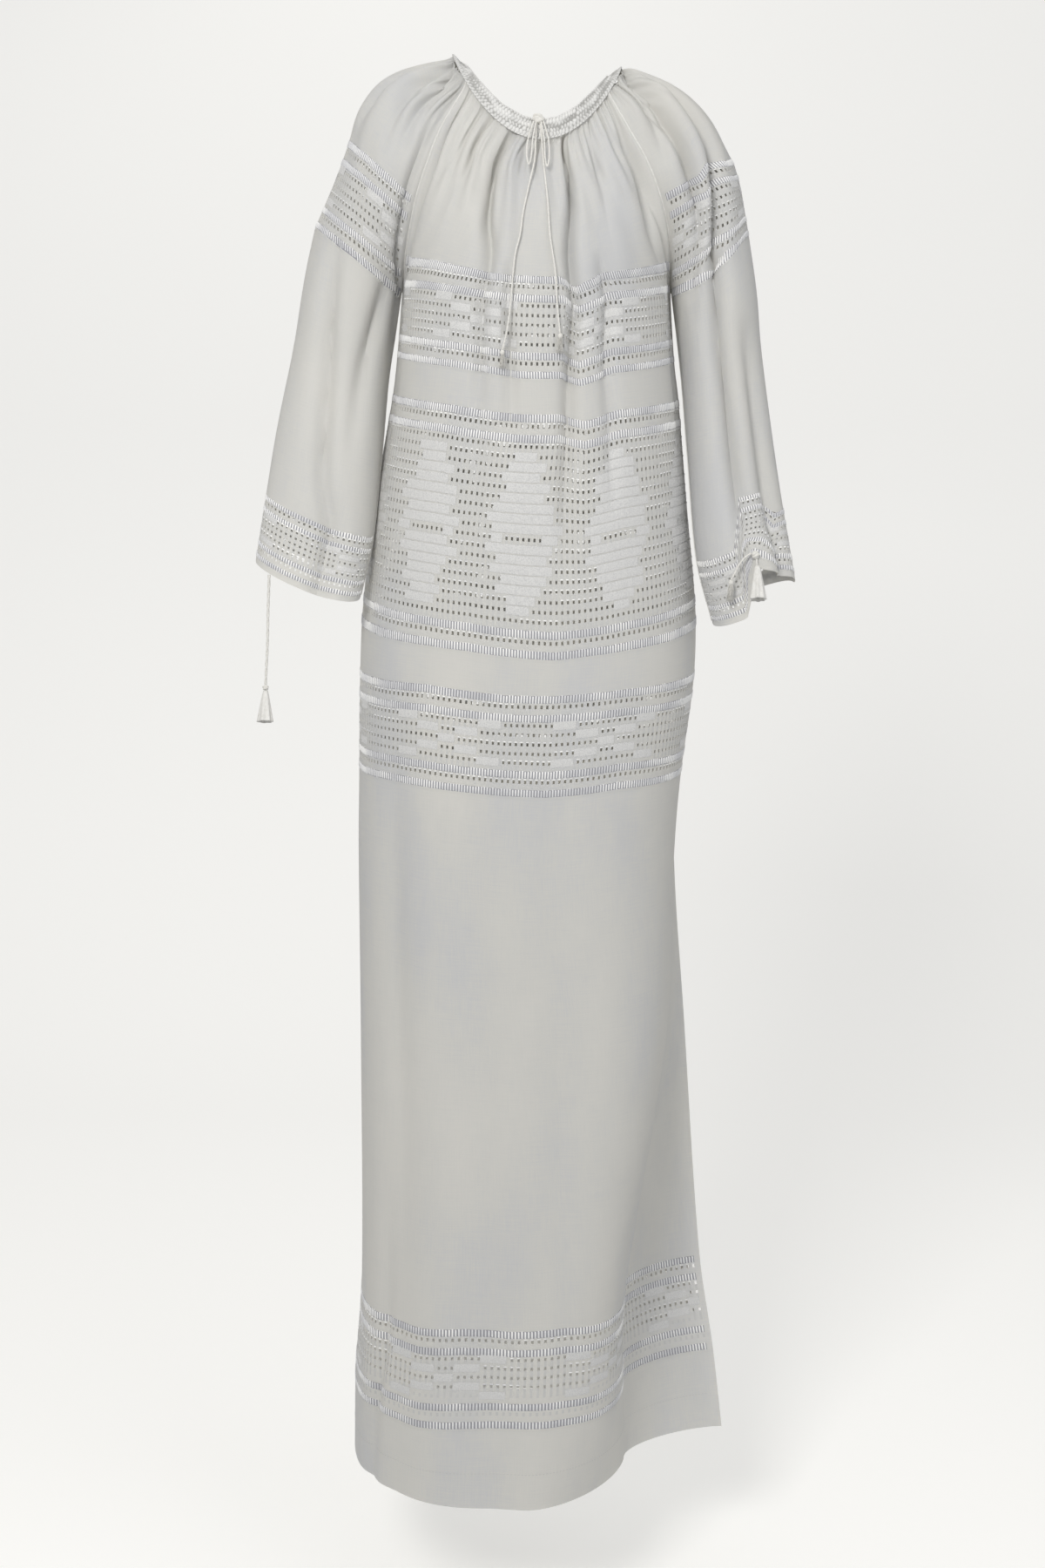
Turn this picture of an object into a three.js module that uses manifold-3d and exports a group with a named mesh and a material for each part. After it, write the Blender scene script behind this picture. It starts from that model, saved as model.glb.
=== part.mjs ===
// Long gathered peasant dress in thin white cotton, hanging in its worn shape.
// Millimetres, +Z up, the wearer's front towards -Y. The origin lies on the
// midline between the shoulders, where the neckline rests.
// "left" and "right" are those of a person looking at the front.

import * as THREE from 'three';
import { mergeVertices } from 'three/addons/utils/BufferGeometryUtils.js';
import Module from 'manifold-3d';

const wasm = await Module();
wasm.setup();

// ---- Driving dimensions ----
const CLOTH = 1.1;             // wall of every cloth piece
const SEAM = 0.3;              // gap kept between pieces that are sewn together
const NECK_GAP = 0.9;          // the same where a gathered top meets the casing
const SLIT = { level: 750, aside: 14 };  // where the right side seam ends; the back's step in
const CENTRE_X = -8;           // middle of the front and back panels
const FRONT_COLUMNS = 54;
const BACK_COLUMNS = 40;
const SLEEVE_COLUMNS = 36;
const SEAM_ROWS = 7;           // rows from the neck to the armpit, shared by sewn edges
const SKIRT_ROWS = 10;         // rows of a panel from the armpit to the hem
const ARM_ROWS = 6;            // rows of a sleeve from the armpit to its edge

const CASING = {
  gathers: 60, relief: 1.1, columns: 180,
  top: { halfX: 67, front: -78, back: 70, side: 9, dipFront: 50, dipBack: 37, power: 1.1 },
  low: { halfX: 81, front: -86, back: 79, side: 20, dipFront: 80, dipBack: 67, power: 0.85 },
  midX: 2, tilt: -0.07,
};

const TAIL = 1.8;              // thickness of the neck cord
const LOOP = 1.6;              // the same cord pulled flat in the bow
const CUFF_CORD = 3;
const CORD_SIDES = 8;
const BELL = { length: 31, radius: 8, neck: 2.4, wall: 1.2 };
const TUFT = { strands: 9, head: 4.5, radius: 2.4, strand: 1.1 };
const NOTCH = { at: 0.235, steep: 0.035, wide: 0.27, lift: 44, from: 1.72 };  // drawn-up right cuff

// ---- Tables: one row for each section ----

function table(columns, rows) {
  return rows.map((row) => Object.fromEntries(columns.map((name, k) => [name, row[k]])));
}

// Seam between a sleeve and the body, from the neck (0) to the armpit (1).
// level: depth of the front middle below the origin; back: height of the back middle.
const RAGLAN = table(['at', 'level', 'back', 'edge', 'left', 'right', 'fore', 'aft'], [
  [0.00, 60, -46, -18, -64, 68, -47, 45],
  [0.14, 80, -58, -30, -78, 77, -56, 52],
  [0.28, 103, -76, -50, -90, 89, -61, 58],
  [0.42, 127, -100, -77, -101, 105, -62, 60],
  [0.57, 152, -128, -108, -112, 118, -57, 56],
  [0.71, 170, -152, -136, -119, 126, -46, 46],
  [0.85, 188, -176, -165, -125, 130, -29, 29],
  [1.00, 212, -202, -196, -128.6, 131.6, -4, 4],
]);

// Front and back panels below the armpit. edge: height of the side edges; left and
// right: their x; wide: their y; fold: where the front's right half turns back outwards.
const BODY = table(['level', 'back', 'edge', 'left', 'right', 'wideL', 'wideR', 'foldX', 'foldY'], [
  [279, -268, -264, -135, 136.5, 0, 0, 136.5, 0],
  [314, -300, -297, -139.5, 141, 2, 2, 141, 2],
  [425, -408, -402, -159, 151, 6, 4, 151, 4],
  [536, -516, -508, -172.5, 161.5, 8, 6, 161.5, 6],
  [579, -574, -571, -176, 161, 10, 6, 161, 6],
  [674, -674, -674, -178.5, 149, 12, 8, 149, 8],
  [750, -750, -750, -180.5, 144, 18, 12, 144, 12],
  [950, -950, -950, -182, 160, 34, 44, 137, 2],
  [1228, -1228, -1228, -185.5, 183, 50, 72, 97, 0],
  [1335, -1335, -1335, -194, 199, 52, 67, 96, -5],
  [1428, -1428, -1428, -197, 210, 54, 61, 98, -6],
]);

// How far the middle of each panel stands out, and how square its rows are.
const DEPTH = table(['level', 'front', 'back', 'squareL', 'squareR', 'aftSquare'], [
  [60, -86, 79, 2.0, 2.0, 2.0],
  [103, -107, 97, 2.1, 2.1, 2.0],
  [152, -119, 106, 2.2, 2.2, 2.0],
  [212, -123, 106, 2.3, 2.3, 2.1],
  [425, -124, 106, 2.4, 2.4, 2.1],
  [674, -123, 118, 2.5, 2.5, 2.2],
  [950, -120, 128, 2.7, 2.6, 2.3],
  [1228, -121, 142, 2.9, 2.8, 2.4],
  [1428, -121, 152, 2.55, 1.6, 2.4],
]);

// Part of the quarter turn that a row makes before it reaches its seam, degrees.
const TURN = table(['level', 'turn'], [
  [60, 52], [103, 60], [152, 70], [188, 82], [212, 90],
  [1428, 90],
]);

// Sleeves. out: the line over the shoulder and down the outside of the arm; open:
// half of the turn that the cloth makes round the arm, degrees; deep: half the
// depth from front to back. Below the armpit, in: the line inside the arm.
const LEFT_CAP = table(['at', 'outX', 'outY', 'outZ', 'open'], [
  [0.00, -80, 0, 25.6, 90],
  [0.14, -114, 4, 18, 96],
  [0.28, -148, 7, 3, 103],
  [0.42, -169, 9, -23, 111],
  [0.57, -180, 10, -56, 122],
  [0.71, -191, 10, -84, 134],
  [0.85, -202, 9, -109, 150],
  [1.00, -214, 8, -135, 175.5],
]);
const RIGHT_CAP = table(['at', 'outX', 'outY', 'outZ', 'open'], [
  [0.00, 83, 0, 14.5, 90],
  [0.14, 115, 4, 9, 96],
  [0.28, 147, 7, -8, 103],
  [0.42, 172, 9, -34, 111],
  [0.57, 190, 10, -69, 122],
  [0.71, 199, 10, -95, 134],
  [0.85, 204, 9, -119, 150],
  [1.00, 209, 8, -145, 175.5],
]);
const LEFT_ARM = table(['drop', 'outX', 'outY', 'outZ', 'inX', 'inY', 'inZ', 'deep', 'lean'], [
  [0, -214, 8, -135, -130.5, 0, -196, 54, 0],
  [55, -227, 2, -191, -136.5, -4, -236, 53, 0],
  [115, -238, -5, -250, -143, -14, -280, 51, 1],
  [190, -254, -25, -325, -149, -34, -350, 48, 3],
  [265, -266, -44, -391, -158, -52, -434, 43, 6],
  [322, -276, -58, -447, -170, -66, -488, 38, 9],
]);
const RIGHT_ARM = table(['drop', 'outX', 'outY', 'outZ', 'inX', 'inY', 'inZ', 'deep', 'lean'], [
  [0, 209, 8, -145, 133.5, 0, -196, 54, 0],
  [55, 217, 2, -198, 139, -4, -238, 53, 0],
  [115, 221.5, -5, -250, 144, -14, -285, 51, 1],
  [190, 232, -25, -333, 150, -34, -364, 48, 2],
  [265, 242, -44, -402, 158, -50, -452, 45, 3],
  [330, 254, -58, -474, 174, -62, -514, 42, 5],
]);

// Folds: across is 0 at the left edge of a piece and 1 at its right edge at the
// top of the fold, end the same at its foot; top and foot are levels, deep is the
// depth of the trough (negative stands out) and wide its half width, both mm.
const FRONT_FOLDS = table(['across', 'end', 'top', 'foot', 'deep', 'wide'], [
  [0.06, 0.10, 60, 240, 3, 8],
  [0.15, 0.17, 60, 300, 4, 9],
  [0.25, 0.24, 60, 200, 3, 7],
  [0.34, 0.34, 60, 560, 8, 9],
  [0.43, 0.42, 60, 190, 3, 7],
  [0.50, 0.49, 60, 300, 5, 7],
  [0.57, 0.56, 60, 180, 3, 6],
  [0.65, 0.63, 60, 640, 8, 8],
  [0.73, 0.74, 60, 470, 7, 8],
  [0.82, 0.84, 60, 330, 5, 9],
  [0.91, 0.92, 60, 250, 4, 8],
  [0.30, 0.28, 700, 1428, 3, 22],
  [0.55, 0.57, 640, 1300, 2.5, 26],
]);
const BACK_FOLDS = table(['across', 'end', 'top', 'foot', 'deep', 'wide'], [
  [0.08, 0.08, 60, 260, 4, 8],
  [0.17, 0.16, 60, 420, 6, 9],
  [0.27, 0.26, 60, 240, 4, 8],
  [0.37, 0.36, 60, 700, 8, 10],
  [0.47, 0.46, 60, 300, 5, 8],
  [0.56, 0.58, 60, 560, 7, 9],
  [0.66, 0.67, 60, 260, 4, 8],
  [0.76, 0.77, 60, 480, 7, 9],
  [0.86, 0.87, 60, 300, 5, 8],
  [0.33, 0.30, 720, 1428, 7, 24],
  [0.62, 0.64, 680, 1428, 8, 26],
]);
// On a sleeve top and foot are parts of its length from neck (0) to armpit (1) to edge (2).
const LEFT_FOLDS = table(['across', 'end', 'top', 'foot', 'deep', 'wide'], [
  [0.14, 0.22, 0, 0.9, 3, 7],
  [0.28, 0.33, 0, 0.7, 3, 6],
  [0.42, 0.40, 0, 0.5, 3, 6],
  [0.58, 0.60, 0, 0.7, 3, 6],
  [0.74, 0.70, 0, 1.1, 4, 7],
  [0.88, 0.80, 0, 0.8, 3, 6],
  [0.20, 0.26, 0.8, 2, 6, 14],
  [0.68, 0.70, 0.9, 2, 6, 14],
]);
const RIGHT_FOLDS = table(['across', 'end', 'top', 'foot', 'deep', 'wide'], [
  [0.12, 0.20, 0, 0.9, 3, 7],
  [0.26, 0.33, 0, 1.4, 6, 8],
  [0.40, 0.43, 0, 0.9, 4, 7],
  [0.58, 0.60, 0, 0.7, 3, 6],
  [0.74, 0.70, 0, 1.1, 4, 7],
  [0.88, 0.80, 0, 0.8, 3, 6],
  [0.33, 0.36, 1.0, 2, 9, 11],
  [0.68, 0.70, 0.9, 2, 6, 14],
]);

// ---- Reading the tables ----

// Values of every column where `key` equals `at`, on smooth curves through the rows.
function read(table, key, at) {
  const last = table.length - 1;
  let i = 0;
  while (i < last - 1 && at > table[i + 1][key]) i += 1;
  const step = table[i + 1][key] - table[i][key];
  const t = THREE.MathUtils.clamp((at - table[i][key]) / step, 0, 1);
  const values = {};
  for (const column of Object.keys(table[0])) {
    const slope = (k) => {
      const before = table[Math.max(k - 1, 0)];
      const after = table[Math.min(k + 1, last)];
      return (after[column] - before[column]) / (after[key] - before[key]) * step;
    };
    const [a, b] = [table[i][column], table[i + 1][column]];
    const [u, w] = [slope(i), slope(i + 1)];
    values[column] = a + u * t + (3 * (b - a) - 2 * u - w) * t * t + (2 * (a - b) + u + w) * t ** 3;
  }
  return values;
}

const mix = THREE.MathUtils.lerp;
const ease = THREE.MathUtils.smoothstep;

// `count` + 1 points evenly spaced along a line of points.
function evenly(points, count) {
  const run = [0];
  for (let i = 1; i < points.length; i += 1) run.push(run[i - 1] + points[i].distanceTo(points[i - 1]));
  const total = run[run.length - 1];
  let i = 1;
  return Array.from({ length: count + 1 }, (_, k) => {
    const want = total * k / count;
    while (i < points.length - 1 && run[i] < want) i += 1;
    const t = (want - run[i - 1]) / (run[i] - run[i - 1]);
    return points[i - 1].clone().lerp(points[i], THREE.MathUtils.clamp(t, 0, 1));
  });
}

// ---- Rows of the body ----

// The raglan seam and the side seam as one table; open is half the gap between them.
const SIDES = RAGLAN.map((row) => {
  const wide = (row.fore + row.aft) / 2;
  const open = (row.aft - row.fore) / 2;
  return { ...row, open, wideL: wide, wideR: wide, foldX: row.right, foldY: row.fore };
}).concat(BODY.map((row) => ({ ...row, open: SEAM / 2 })));

// Middle and edges of a row of the front or back panel at a level.
function station(level, front) {
  const depth = read(DEPTH, 'level', level);
  const row = read(SIDES, 'level', level);
  const turn = THREE.MathUtils.degToRad(read(TURN, 'level', level).turn);
  if (front) {
    return {
      middle: new THREE.Vector3(CENTRE_X, depth.front, -level),
      left: new THREE.Vector3(row.left, row.wideL - row.open, row.edge),
      right: new THREE.Vector3(row.right, row.wideR - row.open, row.edge),
      fold: new THREE.Vector3(row.foldX, row.foldY, row.edge),
      squareL: depth.squareL, squareR: depth.squareR, turn,
    };
  }
  const aside = ease(level, SLIT.level, SLIT.level + 200) * SLIT.aside;
  return {
    middle: new THREE.Vector3(CENTRE_X, depth.back, row.back),
    left: new THREE.Vector3(row.left, row.wideL + row.open, row.edge),
    right: new THREE.Vector3(row.right - aside, row.wideR + row.open + aside, row.edge),
    squareL: depth.aftSquare, squareR: depth.aftSquare, turn,
  };
}

// Half a row, from the panel's middle round to one edge: a squared quarter turn,
// and past the fold, if there is one, a second turn that opens the other way.
function halfRow(row, side, count) {
  const { middle, turn } = row;
  const power = 2 / (side < 0 ? row.squareL : row.squareR);
  const edge = side < 0 ? row.left : row.right;
  const target = side > 0 && row.fold ? row.fold : edge;
  const reach = Math.sin(turn) ** power;
  const close = Math.max(Math.cos(turn), 0) ** power;
  const halfX = (target.x - middle.x) / reach;
  const baseY = (target.y - middle.y * close) / (1 - close);
  const points = [];
  for (let k = 0; k <= 60; k += 1) {
    const angle = turn * k / 60;
    const across = Math.sin(angle) ** power;
    const x = middle.x + halfX * across;
    const y = baseY + (middle.y - baseY) * Math.max(Math.cos(angle), 0) ** power;
    points.push(new THREE.Vector3(x, y, mix(middle.z, target.z, (across / reach) ** 2)));
  }
  if (target.distanceTo(edge) > 1) {
    for (let k = 1; k <= 30; k += 1) {
      const angle = Math.PI / 2 * k / 30;
      const x = edge.x - (edge.x - target.x) * Math.cos(angle) ** 1.3;
      const y = target.y + (edge.y - target.y) * Math.sin(angle) ** 1.3;
      points.push(new THREE.Vector3(x, y, edge.z));
    }
  }
  return evenly(points, count);
}

// Point of the ring of the casing at an angle, 0 at the right, -90 degrees in front.
function ringPoint(ring, angle) {
  const across = Math.cos(angle);
  const along = Math.sin(angle);
  const dip = along < 0 ? ring.dipFront : ring.dipBack;
  const x = CASING.midX + ring.halfX * across;
  const y = along < 0 ? -ring.front * along : ring.back * along;
  const z = ring.side + CASING.tilt * x - dip * (along * along) ** ring.power;
  return new THREE.Vector3(x, y, z);
}

// Angles of the ring at the seams: each sleeve takes its turn round a side.
function seamAngle(point) {
  const ring = CASING.low;
  const deep = point.y < 0 ? -ring.front : ring.back;
  return Math.atan2(point.y / deep, (point.x - CASING.midX) / ring.halfX);
}

// A row follows the casing at the neck and its own curve from 30 mm below it.
function meetRing(points, from, to, blend) {
  const last = points.length - 1;
  return points.map((point, k) => ringPoint(CASING.low, mix(from, to, k / last)).lerp(point, blend));
}

function bodyRow(level, front, columns) {
  const row = station(level, front);
  const left = halfRow(row, -1, columns / 2).reverse();
  const right = halfRow(row, 1, columns / 2);
  const points = left.concat(right.slice(1));
  const blend = ease(level, RAGLAN[0].level, RAGLAN[0].level + 30);
  if (blend === 1) return points;
  const top = RAGLAN[0];
  const y = front ? top.fore : top.aft;
  let from = seamAngle({ x: top.left, y });
  const to = seamAngle({ x: top.right, y });
  if (front && from > 0) from -= 2 * Math.PI;
  return meetRing(points, from, to, blend);
}

// Levels of the rows of a panel: those of the sleeve seam, then down to the hem.
function bodyLevels() {
  const upper = Array.from({ length: SEAM_ROWS }, (_, k) => read(RAGLAN, 'at', k / SEAM_ROWS).level);
  const armpit = RAGLAN[RAGLAN.length - 1].level;
  const hem = BODY[BODY.length - 1].level;
  const lower = Array.from({ length: SKIRT_ROWS + 1 }, (_, k) => k / SKIRT_ROWS);
  return upper.concat(lower.map((t) => armpit + (hem - armpit) * t ** 1.15));
}

// ---- Rows of a sleeve ----

// Share of the notch's lift at a point of the right sleeve.
function notch(across, run) {
  const reach = across < NOTCH.at ? NOTCH.steep : NOTCH.wide;
  const near = Math.max(1 - Math.abs(across - NOTCH.at) / reach, 0);
  return near * ease(run, NOTCH.from, 2);
}

// `run` goes from 0 at the neck to 1 at the armpit and 2 at the sleeve's edge.
function sleeveRow(run, side, columns) {
  const [cap, arm, edge] = side < 0 ? [LEFT_CAP, LEFT_ARM, 'left'] : [RIGHT_CAP, RIGHT_ARM, 'right'];
  let centre;
  let outward;
  let deep;
  let open;
  let lean = 0;
  if (run < 1) {
    const row = read(cap, 'at', run);
    const seam = read(RAGLAN, 'at', run);
    open = THREE.MathUtils.degToRad(row.open);
    const out = new THREE.Vector3(row.outX, row.outY, row.outZ);
    const chord = new THREE.Vector3(seam[edge] + side * SEAM, (seam.fore + seam.aft) / 2, seam.edge);
    outward = out.clone().sub(chord).divideScalar(1 - Math.cos(open));
    centre = out.clone().sub(outward);
    deep = (seam.aft - seam.fore) / 2 / Math.sin(open);
  } else {
    const row = read(arm, 'drop', (run - 1) * arm[arm.length - 1].drop);
    const out = new THREE.Vector3(row.outX, row.outY, row.outZ);
    const inner = new THREE.Vector3(row.inX, row.inY, row.inZ);
    centre = out.clone().add(inner).multiplyScalar(0.5);
    outward = out.clone().sub(centre);
    deep = row.deep;
    lean = row.lean;
    open = Math.PI - SEAM / deep;
  }
  const points = [];
  for (let k = 0; k <= 96; k += 1) {
    const angle = mix(-open, open, k / 96);
    const point = centre.clone().addScaledVector(outward, Math.cos(angle));
    point.y += deep * Math.sin(angle);
    point.z += lean * Math.sin(angle);
    points.push(point);
  }
  const row = evenly(points, columns);
  if (side > 0) row.forEach((point, c) => { point.z += NOTCH.lift * notch(c / columns, run); });
  const blend = ease(run, 0, 0.2);
  if (blend === 1) return row;
  const x = RAGLAN[0][edge] + side * SEAM;
  let from = seamAngle({ x, y: RAGLAN[0].fore });
  const to = seamAngle({ x, y: RAGLAN[0].aft });
  if (side < 0) from += 2 * Math.PI;
  return meetRing(row, from, to, blend);
}

function sleeveRuns() {
  const upper = Array.from({ length: SEAM_ROWS }, (_, k) => k / SEAM_ROWS);
  return upper.concat(Array.from({ length: ARM_ROWS + 1 }, (_, k) => 1 + k / ARM_ROWS));
}

// ---- Walls ----

// Unit normals of a grid of points, by the differences between its neighbours.
function normals(grid, ring) {
  const rows = grid.length;
  const columns = grid[0].length;
  return grid.map((line, r) => line.map((_, c) => {
    const before = ring ? (c + columns - 1) % columns : Math.max(c - 1, 0);
    const after = ring ? (c + 1) % columns : Math.min(c + 1, columns - 1);
    const across = grid[r][after].clone().sub(grid[r][before]);
    const down = grid[Math.min(r + 1, rows - 1)][c].clone().sub(grid[Math.max(r - 1, 0)][c]);
    return across.cross(down).normalize();
  }));
}

// The grid with its folds: troughs pushed in along the normals.
function folded(grid, folds, levels, facing) {
  const out = normals(grid, false);
  const columns = grid[0].length - 1;
  return grid.map((line, r) => {
    let length = 0;
    for (let c = 1; c <= columns; c += 1) length += line[c].distanceTo(line[c - 1]);
    return line.map((point, c) => {
      let depth = 0;
      for (const fold of folds) {
        const t = (levels[r] - fold.top) / (fold.foot - fold.top);
        if (t < 0 || t > 1) continue;
        const grow = fold.top > levels[0] ? ease(t, 0, 0.35) : 0.45 + 0.55 * ease(t, 0, 0.15);
        const fade = fold.foot < levels[levels.length - 1] ? 1 - ease(t, 0.45, 1) : 1;
        const away = (c / columns - mix(fold.across, fold.end, t)) * length / fold.wide;
        depth += fold.deep * grow * fade * Math.exp(-away * away);
      }
      const margin = ease(Math.min(c, columns - c), 0, 3);
      return point.clone().addScaledVector(out[r][c], -facing * depth * margin);
    });
  });
}

// A closed wall between a grid and the same grid moved in by its thickness.
// `relief` raises single points of the outside; a ring is joined end to end.
function wall(grid, facing, { ring = false, relief = null, thick = CLOTH } = {}) {
  const rows = grid.length;
  const columns = grid[0].length;
  const out = normals(grid, ring);
  const positions = [];
  for (const layer of [0, 1]) {
    for (let r = 0; r < rows; r += 1) {
      for (let c = 0; c < columns; c += 1) {
        const shift = layer ? -thick : (relief ? relief(r, c) : 0);
        positions.push(...grid[r][c].clone().addScaledVector(out[r][c], facing * shift).toArray());
      }
    }
  }
  const at = (layer, r, c) => (layer * rows + r) * columns + c % columns;
  const index = [];
  const quad = (a, b, c, d) => {
    if (facing > 0) index.push(a, b, c, a, c, d);
    else index.push(a, d, c, a, c, b);
  };
  const spans = ring ? columns : columns - 1;
  for (let r = 0; r < rows - 1; r += 1) {
    for (let c = 0; c < spans; c += 1) {
      quad(at(0, r, c), at(0, r, c + 1), at(0, r + 1, c + 1), at(0, r + 1, c));
      quad(at(1, r, c), at(1, r + 1, c), at(1, r + 1, c + 1), at(1, r, c + 1));
    }
  }
  for (let c = 0; c < spans; c += 1) {
    quad(at(0, 0, c), at(1, 0, c), at(1, 0, c + 1), at(0, 0, c + 1));
    quad(at(0, rows - 1, c), at(0, rows - 1, c + 1), at(1, rows - 1, c + 1), at(1, rows - 1, c));
  }
  for (let r = 0; r < rows - 1 && !ring; r += 1) {
    const end = columns - 1;
    quad(at(0, r, 0), at(0, r + 1, 0), at(1, r + 1, 0), at(1, r, 0));
    quad(at(0, r, end), at(1, r, end), at(1, r + 1, end), at(0, r + 1, end));
  }
  const geometry = new THREE.BufferGeometry();
  geometry.setAttribute('position', new THREE.Float32BufferAttribute(positions, 3));
  geometry.setIndex(index);
  geometry.computeVertexNormals();
  return geometry;
}

// ---- Pieces ----

const cotton = (shade) => new THREE.MeshStandardMaterial({ color: shade, roughness: 0.9, metalness: 0 });

const dress = new THREE.Group();
function add(name, geometry, shade = 0xe9e8e2) {
  const mesh = new THREE.Mesh(geometry, cotton(shade));
  mesh.name = name;
  dress.add(mesh);
}

// Edges drawn back by half a seam so that sewn pieces stay apart.
function trimmed(grid, top) {
  const last = grid[0].length - 1;
  const rows = grid.map((line) => {
    const copy = line.map((point) => point.clone());
    copy[0].add(line[1].clone().sub(line[0]).setLength(SEAM / 2));
    copy[last].add(line[last - 1].clone().sub(line[last]).setLength(SEAM / 2));
    return copy;
  });
  rows[0] = rows[0].map((point, c) => point.clone().add(grid[1][c].clone().sub(point).setLength(top)));
  return rows;
}

function panel(front) {
  const levels = bodyLevels();
  const columns = front ? FRONT_COLUMNS : BACK_COLUMNS;
  const grid = levels.map((level) => bodyRow(level, front, columns));
  const facing = front ? -1 : 1;
  const shaped = folded(grid, front ? FRONT_FOLDS : BACK_FOLDS, levels, facing);
  return wall(trimmed(shaped, NECK_GAP), facing);
}

function sleeve(side) {
  const runs = sleeveRuns();
  const grid = runs.map((run) => sleeveRow(run, side, SLEEVE_COLUMNS));
  const shaped = folded(grid, side < 0 ? LEFT_FOLDS : RIGHT_FOLDS, runs, -side);
  return wall(trimmed(shaped, NECK_GAP), -side);
}

function casing() {
  const count = CASING.columns;
  const lift = [0, 0.5, 1];
  const grid = lift.map((t) => Array.from({ length: count }, (_, k) => {
    const angle = 2 * Math.PI * k / count;
    return ringPoint(CASING.top, angle).lerp(ringPoint(CASING.low, angle), t);
  }));
  const swell = [0.25, 1, 0.8];
  const gather = (c) => 0.5 - 0.5 * Math.cos(2 * Math.PI * CASING.gathers * c / count);
  const relief = (r, c) => CASING.relief * swell[r] * gather(c);
  return wall(grid, -1, { ring: true, relief });
}

// ---- Cords, bow and tassels ----

const vectors = (list) => list.map((point) => new THREE.Vector3(...point));

// A regular section with a number of sides.
function section(thick, sides) {
  const centre = new THREE.Vector2();
  const corner = (k) => new THREE.Vector2(thick / 2, 0).rotateAround(centre, 2 * Math.PI * k / sides);
  return new THREE.Shape(Array.from({ length: sides }, (_, k) => corner(k)));
}

function tube(route, thick) {
  const path = new THREE.CatmullRomCurve3(vectors(route), false, 'centripetal');
  const steps = Math.ceil(path.getLength() / (3 * thick));
  const extrusion = { steps, bevelEnabled: false, extrudePath: path };
  return new THREE.ExtrudeGeometry(section(thick, CORD_SIDES), extrusion);
}

function solid(geometry) {
  const plain = geometry.clone();
  for (const name of ['normal', 'uv']) plain.deleteAttribute(name);
  const merged = mergeVertices(plain, 1e-4);
  return new wasm.Manifold(new wasm.Mesh({
    numProp: 3,
    vertProperties: new Float32Array(merged.attributes.position.array),
    triVerts: new Uint32Array(merged.index.array),
  }));
}

function fused(geometries) {
  const mesh = geometries.map(solid).reduce((all, next) => all.add(next)).getMesh();
  const geometry = new THREE.BufferGeometry();
  geometry.setAttribute('position', new THREE.BufferAttribute(mesh.vertProperties, 3));
  geometry.setIndex(new THREE.BufferAttribute(mesh.triVerts, 1));
  geometry.computeVertexNormals();
  return geometry;
}

// A bell of cloth hanging below a knot, open at its foot and swung forward by a tilt.
function bell(top, tilt, length = BELL.length) {
  const { radius, neck, wall: thick } = BELL;
  const profile = [
    [0, 0], [neck, -0.4], [neck + 0.6, -4], [radius * 0.62, -length * 0.45], [radius, -length],
    [radius - thick, -length], [radius * 0.62 - thick, -length * 0.5], [0, -length * 0.3],
  ].reverse();
  const geometry = new THREE.LatheGeometry(profile.map(([r, z]) => new THREE.Vector2(r, z)), 14);
  geometry.rotateX(Math.PI / 2);
  geometry.rotateX(-tilt);
  geometry.translate(...top);
  return geometry;
}

// A tuft of strands fused to a round head.
function tuft(top, length) {
  const { strands, head, radius, strand } = TUFT;
  const [x, y, z] = top;
  const ball = new THREE.SphereGeometry(radius, 10, 6);
  ball.scale(1, 1, head / (2 * radius));
  ball.translate(x, y, z - head / 2);
  const parts = [ball];
  for (let i = 0; i < strands; i += 1) {
    const angle = 2 * Math.PI * i / strands;
    const out = 1.35 * radius * (i % 2 ? 1 : 0.72);
    const [across, along] = [Math.cos(angle), Math.sin(angle)];
    const from = new THREE.Vector3(x + across * radius * 0.5, y + along * radius * 0.5, z - head * 0.5);
    const to = new THREE.Vector3(x + across * out, y + along * out * 0.6, z - length);
    const extrusion = { steps: 1, bevelEnabled: false, extrudePath: new THREE.LineCurve3(from, to) };
    parts.push(new THREE.ExtrudeGeometry(section(strand, 3), extrusion));
  }
  return fused(parts);
}

function knot(centre, size) {
  const geometry = new THREE.SphereGeometry(1, 12, 8);
  geometry.scale(...size);
  geometry.translate(...centre);
  return geometry;
}

// Routes of the cords, from the knot or edge that they come out of to the tassel.
const LEFT_TAIL = [
  [1.2, -85.2, -46.1], [0.2, -92.2, -61], [-1, -99.4, -80], [-6.4, -110, -104.3],
  [-11.2, -116, -126.3], [-14.4, -120.6, -148.1], [-18.4, -122.6, -163.7], [-20.8, -124.2, -183.3],
  [-23.2, -125.2, -210.7], [-26.5, -125.4, -234.2], [-30.5, -125.4, -251],
];
const RIGHT_TAIL = [
  [4.6, -85.2, -46.1], [5.9, -92.2, -61], [7.2, -99.2, -79.1], [11.2, -113.8, -116.9],
  [13.6, -121, -149.7], [18.4, -124.1, -181.7], [20.1, -125.2, -210.7], [22.6, -125.4, -236],
];
const LEFT_LOOP = [
  [-1.7, -86, -44.1], [-6.9, -94.6, -61], [-8, -102.6, -77], [-6, -106, -84], [-4, -103.4, -77],
  [-2.6, -96.6, -61], [0.6, -87.4, -44.7],
];
const RIGHT_LOOP = [
  [7.5, -86, -44.1], [11.9, -94.6, -61], [12.5, -102.6, -78], [10.6, -106, -86], [8.8, -103.4, -78],
  [8, -96.6, -61], [5.2, -87.4, -44.7],
];
const LEFT_TIE = [
  [-255.5, -89, -463.3], [-256.3, -89.4, -480], [-257.2, -89.8, -497], [-258.6, -90, -531],
  [-260.6, -90, -560], [-261.2, -90, -569.4],
];
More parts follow.
